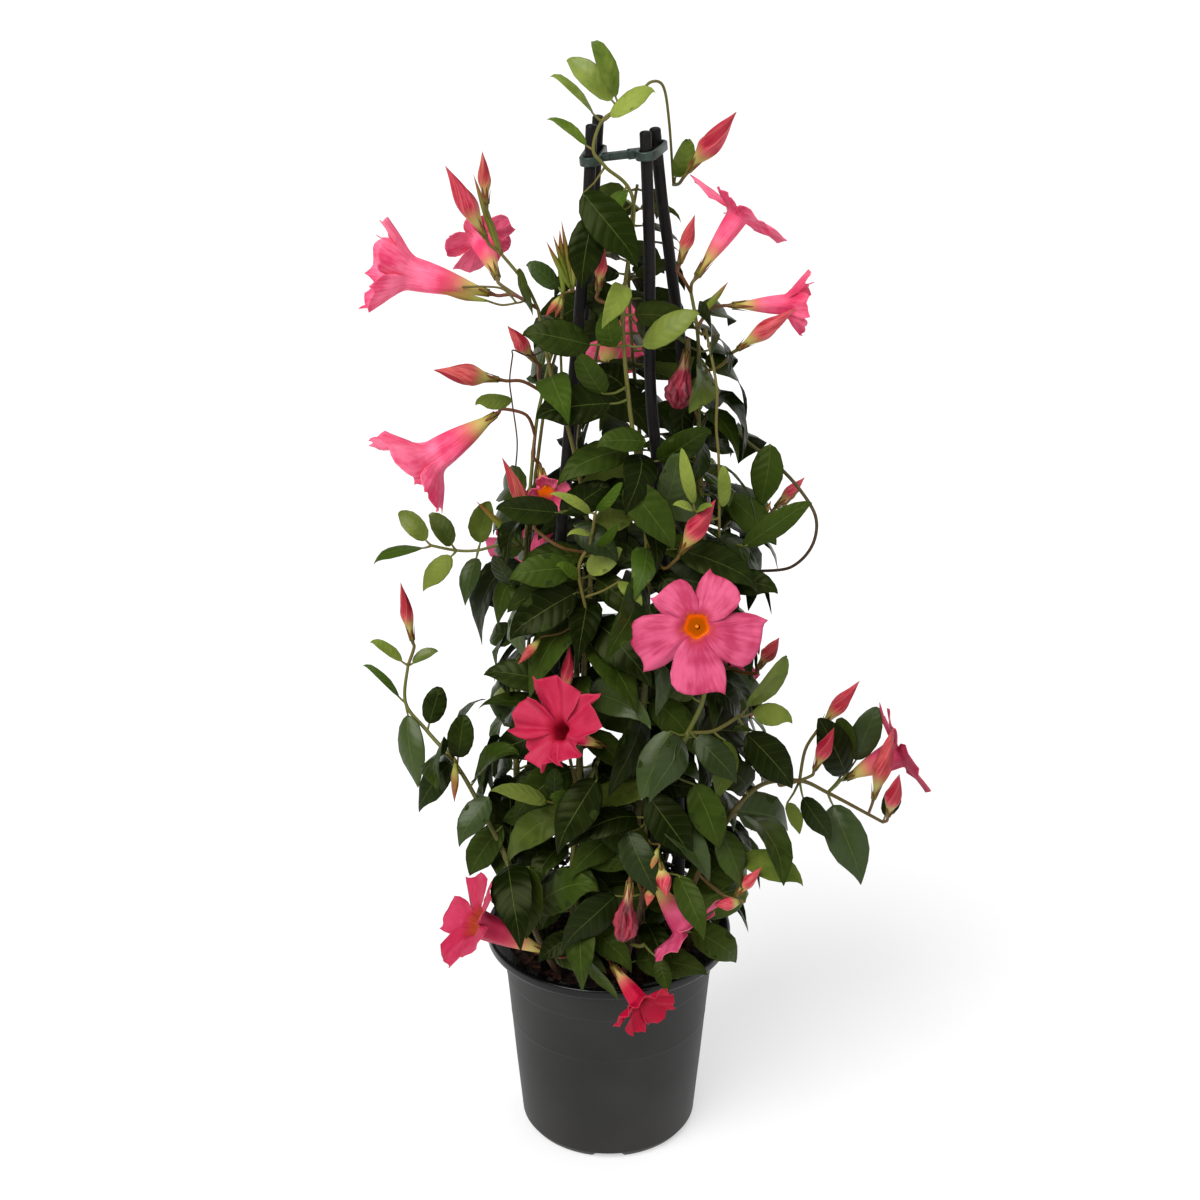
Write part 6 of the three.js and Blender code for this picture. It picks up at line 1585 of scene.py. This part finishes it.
def make_small_shoots():
    """Twigs first, then buds and leaves, each on a stalk from the nearest line."""
    shells = Shells()
    points = np.vstack([line for vine in VINES.values() for line, radius, pairs in branches(vine)])
    for radius, route in TWIGS:
        line = spline(route, 6)
        foot = small_stalk(points, line[0], unit(line[1] - line[0]))
        shells.tube(pipe(np.vstack([foot[:-1], line]), radius, 7), tint=(smooth(0.8, 0.5, radius), 0.3, 0, 1))
        points = np.vstack([points, line])
    for number, (foot, tip, radius, green, warm) in enumerate(SMALL_BUDS):
        ends = np.array(foot, float), np.array(tip, float)
        profile = [(v, r * radius) for v, r in GREEN_BUD]
        tint = (green, draw(SMALL_STEM, number, 0, 0), warm, 1)
        add_spindle(shells, *ends, profile, 15, tint, 3, rows=15, twist=2.0, ridge=0.25)
        stalk = small_stalk(points, ends[0], unit(ends[1] - ends[0]))
        shells.tube(pipe(stalk, SMALL_STALK_RADIUS, 6), tint=(0, 0.5, 0, 1))
    leaves = []
    for foot, tip, width, face, youth in SMALL_LEAVES:
        leaves.append(placed_leaf(SMALL_STEM, 0, 0, points, leaf(tip, width, face, base=foot)))
    for number, (one, rings) in enumerate(zip(leaves, blade_rings(leaves, SMALL_STEM))):
        tint = (SMALL_LEAVES[number][4], draw(SMALL_STEM, number, 0, 1), 0, 1)
        shells.tube(rings, tint=tint, slot=1, turns=2.0, flip=True, heights=ROWS)
        shells.tube(pipe(petiole_line(one), PETIOLE * 0.8, 5), tint=(0, 0.2, 0, 1))
    return shells.make("small_shoots", [STEM, LEAF, SEPAL, BUD])


print("small shoots:", triangles(make_small_shoots()), "triangles")

# %% [markdown]
# ## The pot
# A nursery pot is one thin moulded wall: a foot ring with notches that let water out, a
# slightly conical side and a rolled lip. Its profile, turned round the axis, gives everything
# except the notches. Those only raise the foot ring, so they are a function of the angle that
# lifts its lowest points. The holes in the floor are cut with a Boolean, which is then applied.

# %% Holder materials
def pot_look():
    """Matt dark grey wall; the lip is darker and shines more."""
    look = Look("pot_grey_plastic", Specular_IOR_Level=0.27)
    place = look.place()
    height = look.parts(place)[2]
    lip = height.between(0.1462, 0.1476)
    cloud = look.noise(place, 14.0, 3.0)
    fine = look.noise(place, 900.0, 1.0)
    lines = look.noise(look.stretched(place, 4.0, 4.0, 420.0), 1.0, 1.0)
    dust = (cloud + fine * 0.15).between(0.4, 0.85)
    low = 1.0 - height.between(0.0, 0.05)
    wall = look.over(rgb(25, 25, 24), (dust, rgb(38, 37, 36)), (low * 0.35, rgb(34, 29, 26)))
    return look.paint(
        Base_Color=look.mix(lip, wall, rgb(3, 5, 4)),
        Roughness=0.5 - lip * 0.26 + fine * 0.06,
        Normal=look.bump(lines + fine * 0.35, 0.12, 0.2),
    )


def soil_look():
    """Damp peat with bark. tint gives each chip of bark its own shade."""
    look = Look("soil_peat", Specular_IOR_Level=0.2)
    shade, red = look.tint()[:2]
    place = look.place()
    crumb = look.noise(place, 260.0, 4.0)
    dark = look.mix(crumb.between(0.35, 0.75), rgb(18, 11, 9), rgb(52, 34, 26))
    bark = look.mix(red, rgb(70, 48, 36), rgb(92, 46, 34))
    return look.paint(
        Base_Color=look.mix(shade, dark, bark),
        Roughness=0.82,
        Normal=look.bump(crumb, 0.9, 2.0),
    )


def cane_look():
    """Coated canes, nearly black, with fine streaks along them and a dull shine."""
    look = Look("cane_black_coat", Specular_IOR_Level=0.2)
    place = look.place()
    streak = look.noise(look.stretched(place, 700.0, 700.0, 22.0), 1.0, 3.0)
    scuff = look.noise(place, 120.0, 3.0).between(0.56, 0.74)
    coat = look.mix(streak, rgb(4, 4, 4), rgb(20, 17, 16))
    return look.paint(
        Base_Color=look.mix(scuff * 0.3, coat, rgb(44, 36, 31)),
        Roughness=0.4 + streak * 0.2,
        Normal=look.bump(streak, 0.35, 0.4),
    )


def clip_look():
    look = Look("clip_green_plastic")
    worn = look.noise(look.place(), 240.0, 3.0)
    colour = look.mix(worn.between(0.35, 0.75), rgb(22, 38, 31), rgb(40, 60, 49))
    return look.paint(Base_Color=colour, Roughness=0.4, Normal=look.bump(worn, 0.2, 0.2))


POT, SOIL, CANE, CLIP = pot_look(), soil_look(), cane_look(), clip_look()
print("holder materials:", [look.name for look in (POT, SOIL, CANE, CLIP)])

# %% Pot
POT_PROFILE = [
    (0, 0), (40, 0), (42, 4), (51, 4), (52.5, 0), (58, 0), (61.5, 5), (66, 55), (68.6, 87), (68.85, 87.6),
    (68.9, 90), (71.6, 122), (71.95, 122.4), (73.5, 144), (75.5, 147), (84.2, 147.6), (85, 149), (85, 153.6),
    (84, 155), (81.6, 155), (80, 150.8), (72, 150), (64.5, 55), (60, 6.4), (42, 6.4), (40, 2.2), (0, 2.2),
]
NOTCH_WIDTH, NOTCH_HEIGHT, NOTCH_SLOPE = 18, 4.2, 2.6
FOOT_RING = 51.5  # its inner radius
DRAIN_RADIUS, DRAIN_RING, DRAINS = 3.6, 46.5, 6
POT_SEGMENTS = 160


def soften(profile, size):
    """Cuts each corner back along both of its sides, and puts a point on the curve between."""
    p = np.array(profile, float)
    before, here, after = p[:-2], p[1:-1], p[2:]
    cuts = []
    for other in (before, after):
        edge = np.linalg.norm(other - here, axis=1, keepdims=True)
        cuts.append(here + (other - here) / edge * np.minimum(size, edge * 0.45))
    middle = (cuts[0] + 2 * here + cuts[1]) / 4
    return np.vstack([p[:1], np.stack([cuts[0], middle, cuts[1]], 1).reshape(-1, 2), p[-1:]])


def lathe(profile, segments):
    """A profile of (radius, height) pairs turned round the vertical axis."""
    angle = np.arange(segments) * 2 * np.pi / segments
    r, z = np.array(profile, float).T[:, :, None]
    return np.stack([r * np.cos(angle), r * np.sin(angle), z + 0 * angle], -1)


def make_pot():
    """The turned profile, its foot ring lifted at the notches and its floor drilled."""
    rings = lathe(soften(POT_PROFILE, 0.7)[1:-1], POT_SEGMENTS)
    radius = np.linalg.norm(rings[..., :2], axis=-1)
    side = np.minimum(np.abs(rings[..., 0]), np.abs(rings[..., 1]))
    notch = smooth(NOTCH_WIDTH / 2 + NOTCH_SLOPE, NOTCH_WIDTH / 2 - NOTCH_SLOPE, side) * (radius > FOOT_RING)
    lift = notch * np.maximum(0, NOTCH_HEIGHT - rings[..., 2])
    outer = (np.arange(len(rings)) < len(rings) / 2)[:, None]
    rings[..., 2] += lift * outer
    shells = Shells()
    shells.tube(rings)
    pot = shells.make("pot_moulded", [POT], ["pot"])
    drill = Shells()
    for k in range(DRAINS):
        angle = (k + 0.5) * 2 * np.pi / DRAINS
        centre = np.array([math.cos(angle), math.sin(angle), 0]) * DRAIN_RING
        drill.tube(pipe(centre + np.array([(0, 0, 3), (0, 0, 6), (0, 0, 9)]), DRAIN_RADIUS, 20))
    cutter = show("drain_drill", drill.mesh("drain_drill"))
    cut = pot.modifiers.new("drains", "BOOLEAN")
    cut.object, cut.operation, cut.solver = cutter, "DIFFERENCE", "EXACT"
    pierced = bpy.data.meshes.new_from_object(pot.evaluated_get(bpy.context.evaluated_depsgraph_get()))
    pot.modifiers.remove(cut)
    pot.data = pierced
    bpy.data.objects.remove(cutter)
    return pot


print("pot:", triangles(make_pot()), "triangles")

# %% [markdown]
# ## The soil
# Peat settles into a low, lumpy mound with chips of bark on it. The mound is the same kind of
# turned profile, whose top rows are raised by many soft bumps of chance height. Each chip is a
# small tapered block, laid nearly flat. All chips are worked out at once.

# %% Soil
SOIL_SIDE = [(20, 2.6), (39.6, 2.6), (41.8, 6.8), (59.4, 6.8), (64, 55), (70.6, 135), (70.9, 142.6)]
SOIL_TOP, SOIL_RADIUS, DOME, HIGHEST_LUMP = 143, 71, 4, 3.2
CHIPS, LUMPS = 300, 420
CHIP_CORNERS = np.array([
    (-1, -1, -1), (1, -0.6, -1), (1, 0.6, -1), (-1, 1, -1),
    (-0.8, -0.8, 1), (0.9, -0.4, 1), (0.9, 0.5, 1), (-0.8, 0.7, 1)])
chance = np.random.default_rng(5)


def soil_height(x, y, bumps):
    """A low dome plus a sum of bell-shaped bumps: height * exp(-(distance / width)^2)."""
    r = np.hypot(x, y)
    away = (x[..., None] - bumps[0]) ** 2 + (y[..., None] - bumps[1]) ** 2
    lumps = (bumps[2] * np.exp(-away / bumps[3] ** 2)).sum(-1)
    dome = SOIL_TOP + DOME * (1 - (r / SOIL_RADIUS) ** 2)
    return dome + np.minimum(lumps, HIGHEST_LUMP) * smooth(SOIL_RADIUS, SOIL_RADIUS - 7, r)


def make_soil():
    """The mound, and chips of bark spread evenly over its disc."""
    reach, turn = 70 * np.sqrt(chance.random(LUMPS)), chance.random(LUMPS) * 2 * np.pi
    size = chance.uniform(-0.9, 1.7, LUMPS), chance.uniform(1.6, 4.5, LUMPS)
    bumps = reach * np.cos(turn), reach * np.sin(turn), *size
    top = lathe([(r, 0) for r in np.linspace(70.6, 1, 46)], 128)
    top[..., 2] = soil_height(top[..., 0], top[..., 1], bumps)
    shells = Shells()
    shells.tube(np.vstack([lathe(SOIL_SIDE, 128), top]))
    reach, turn = 67 * np.sqrt(chance.random(CHIPS)), chance.random(CHIPS) * 2 * np.pi
    x, y = reach * np.cos(turn), reach * np.sin(turn)
    centre = np.stack([x, y, soil_height(x, y, bumps) + 0.3], -1)
    heading = chance.random(CHIPS) * 2 * np.pi
    long = unit(np.stack([np.cos(heading), np.sin(heading), chance.uniform(-0.35, 0.35, CHIPS)], -1))
    wide = unit(np.cross([0, 0, 1.0], long) + np.array([0, 0, 1]) * chance.uniform(-0.4, 0.4, (CHIPS, 1)))
    high = np.cross(long, wide)
    size = chance.uniform((1.6, 0.8, 0.35), (6.0, 2.6, 1.0), (CHIPS, 3))
    blocks = centre[:, None] + sum(
        CHIP_CORNERS[None, :, k, None] * (axis * size[:, k : k + 1])[:, None]
        for k, axis in enumerate((long, wide, high)))
    sides = np.array([(3, 2, 1, 0), (4, 5, 6, 7), (0, 1, 5, 4), (1, 2, 6, 5), (2, 3, 7, 6), (3, 0, 4, 7)])
    faces = (np.arange(CHIPS)[:, None, None] * 8 + sides).reshape(-1, 4)
    shade, red = chance.uniform(0.1, 0.9, CHIPS), chance.random(CHIPS)
    tint = np.stack([shade, red, np.zeros(CHIPS), np.ones(CHIPS)], 1)
    shells.add(blocks.reshape(-1, 3), faces, np.zeros((len(faces), 4, 2)), np.repeat(tint, 8, axis=0), 0)
    return shells.make("soil_mound", [SOIL], ["soil"])


print("soil:", triangles(make_soil()), "triangles")

# %% [markdown]
# ## Canes and their clip
# Four bowed canes lean together, and a moulded clip holds their tops: a long ring round each
# pair and a strap between. A cane is a pipe along its course with a rounded end. A ring of the
# clip is a small rounded section carried round a path like a running track.

# %% Canes
CANE_RADIUS = 3.6
CANE_FLOOR = 80
CANE_END = np.array([(1.5, 1.0), (1.0, 0.93), (0.45, 0.76), (0.12, 0.5), (0, 0.2)])  # back, radius
for name, course in CANES.items():
    line = spline([(course[0][0], course[0][1], CANE_FLOOR), *course], 8)
    end, heading = line[-1], unit(line[-1] - line[-2])
    line = np.vstack([line[:-1], end - heading * CANE_END[:, :1]])
    radii = np.concatenate([np.ones(len(line) - len(CANE_END)), CANE_END[:, 1]]) * CANE_RADIUS
    shells = Shells()
    shells.tube(pipe(line, radii, 20))
    cane = shells.make(name + "_coated", [CANE], [name])
print("canes:", len(CANES), "each of", triangles(cane), "triangles")

# %% Clip
CLIP_BOTTOM, CLIP_HEIGHT, CLIP_TILT = 694.5, 5.6, 5.5
CLIP_HOLE, CLIP_RIM = CANE_RADIUS + 0.8, 2.2
UP = np.array([0, 0, 1.0])
STRAP = [  # start and end as shares of its length, half width, half height
    (0.16, 0.86, 2.2, CLIP_HEIGHT / 2 - 0.4), (0.62, 0.86, 3.2, CLIP_HEIGHT / 2), (0.16, 0.3, 2.9, 2.0)]


def cane_at(name, height):
    """The point of a cane's course at a height."""
    course = np.array(CANES[name], float)
    return np.array([np.interp(height, course[:, 2], course[:, k]) for k in range(3)])


def track(a, b, radius, count):
    """A closed path round two points: two half circles and the straights between them."""
    heading = math.atan2(b[1] - a[1], b[0] - a[0])
    turn = heading - np.pi / 2 + np.linspace(0, np.pi, count)
    return np.vstack([
        centre + radius * np.stack([np.cos(t), np.sin(t), 0 * t], -1)
        for centre, t in ((b, turn), (a, turn + np.pi))])


def rounded_box(half_width, half_height, corner, count=4):
    """Points round a rectangle with quarter-circle corners, in (across, up) pairs."""
    turn = np.linspace(0, np.pi / 2, count)
    rows = []
    for k, (sx, sy) in enumerate(((1, 1), (-1, 1), (-1, -1), (1, -1))):
        centre = np.array([sx * (half_width - corner), sy * (half_height - corner)])
        t = turn + k * np.pi / 2
        rows.append(centre + corner * np.stack([np.cos(t), np.sin(t)], -1))
    return np.vstack(rows)


def make_clip():
    """A rounded section carried round both tracks and along the strap, then tilted."""
    middle = CLIP_BOTTOM + CLIP_HEIGHT / 2
    pairs = [
        [cane_at("cane_%s_%s" % (depth, side), middle) for depth in ("front", "back")]
        for side in ("left", "right")]
    centre = np.mean([p for pair in pairs for p in pair], axis=0)
    shells = Shells()
    section = rounded_box(CLIP_RIM / 2, CLIP_HEIGHT / 2, 0.7)
    for front, back in pairs:
        path = track(front, back, CLIP_HOLE + CLIP_RIM / 2, 20)
        outward = unit(np.cross(unit(np.roll(path, -1, 0) - np.roll(path, 1, 0)), UP))
        shells.loop(path[:, None] + section[:, :1] * outward[:, None] + section[:, 1:] * UP)
    left, right = pairs[0][0] * 0.8 + pairs[0][1] * 0.2, pairs[1][0] * 0.65 + pairs[1][1] * 0.35
    course = unit(right - left)
    across = np.cross(UP, course)
    for start, end, half_width, half_height in STRAP:
        stations = left + (right - left) * np.linspace(start, end, 5)[:, None]
        section = rounded_box(half_width, half_height, 0.7)
        shells.tube(stations[:, None] - section[:, :1] * across + section[:, 1:] * UP)
    tilt = math.radians(CLIP_TILT)
    c, s = math.cos(tilt), math.sin(tilt)
    turned = np.array([[c, 0, s], [0, 1, 0], [-s, 0, c]])
    shells.points = [(points - centre) @ turned + centre for points in shells.points]
    return shells.make("clip_moulded", [CLIP], ["cane_clip"])


print("clip:", triangles(make_clip()), "triangles")

# %% [markdown]
# ## Light, floor and camera
# A white sweep and large soft lights show a plant as a grower's catalogue would: bright, with
# weak shadows. The floor glows a little, so that it burns out to white. The world stays dim,
# so that the gaps between the leaves stay dark.

# %% Studio
FLOOR_GLOW, WORLD_GLOW = 0.5, 0.14
FLOOR_RADIUS, FLOOR_TOP, FLOOR_BOTTOM = 30000, -0.4, -20
WHITE = (1, 1, 1, 1)
LIGHTS = [  # name, where it stands, width in degrees, strength
    ("key", (-0.6, -0.8, 1.1), 45, 3.7), ("fill", (1.0, -0.7, 0.7), 60, 0.8),
    ("top", (0.1, 0.3, 1.0), 60, 0.9), ("back", (0.5, 1.0, 0.5), 60, 0.6)]


def studio_floor():
    """A disc so wide that its edge never shows."""
    profile = [
        (1, FLOOR_TOP), (FLOOR_RADIUS, FLOOR_TOP), (FLOOR_RADIUS, FLOOR_BOTTOM), (1, FLOOR_BOTTOM)]
    shells = Shells()
    shells.tube(lathe(profile, 48)[::-1])
    white = Look(
        "floor_white", Base_Color=rgb(176, 176, 176), Roughness=1.0,
        Emission_Color=WHITE, Emission_Strength=FLOOR_GLOW)
    floor = show("floor", shells.mesh("floor"))
    floor.data.materials.append(white.material)
    floor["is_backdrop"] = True


def soft_light(name, toward, width, strength):
    """A distant lamp as wide as a large soft box. It lights all of the floor alike."""
    lamp = bpy.data.lights.new(name, "SUN")
    lamp.angle, lamp.energy = math.radians(width), strength
    lamp_object = show(name, lamp)
    x, y, z = toward
    lamp_object.rotation_euler = (math.atan2(math.hypot(x, y), z), 0, math.atan2(x, -y))
    lamp_object.location = unit(toward) * 2


studio_floor()
for light in LIGHTS:
    soft_light(*light)
world = bpy.data.worlds.new("white_room")
world.use_nodes = True
world.node_tree.nodes["Background"].inputs["Color"].default_value = WHITE
world.node_tree.nodes["Background"].inputs["Strength"].default_value = WORLD_GLOW
scene = bpy.context.scene
scene.world = world
scene.view_settings.view_transform = "Standard"

# %% Camera at the height of a standing person's chest
LENS = 68.88
LOOKS_DOWN = 24  # degrees
camera = bpy.data.cameras.new("camera")
camera.lens = LENS
camera_object = show("camera", camera)
camera_object.location = (-0.006, -1.374, 1.014)
camera_object.rotation_euler = (math.radians(90 - LOOKS_DOWN), 0, 0)
scene.camera = camera_object

# %% The box round all that is shown
low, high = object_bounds()
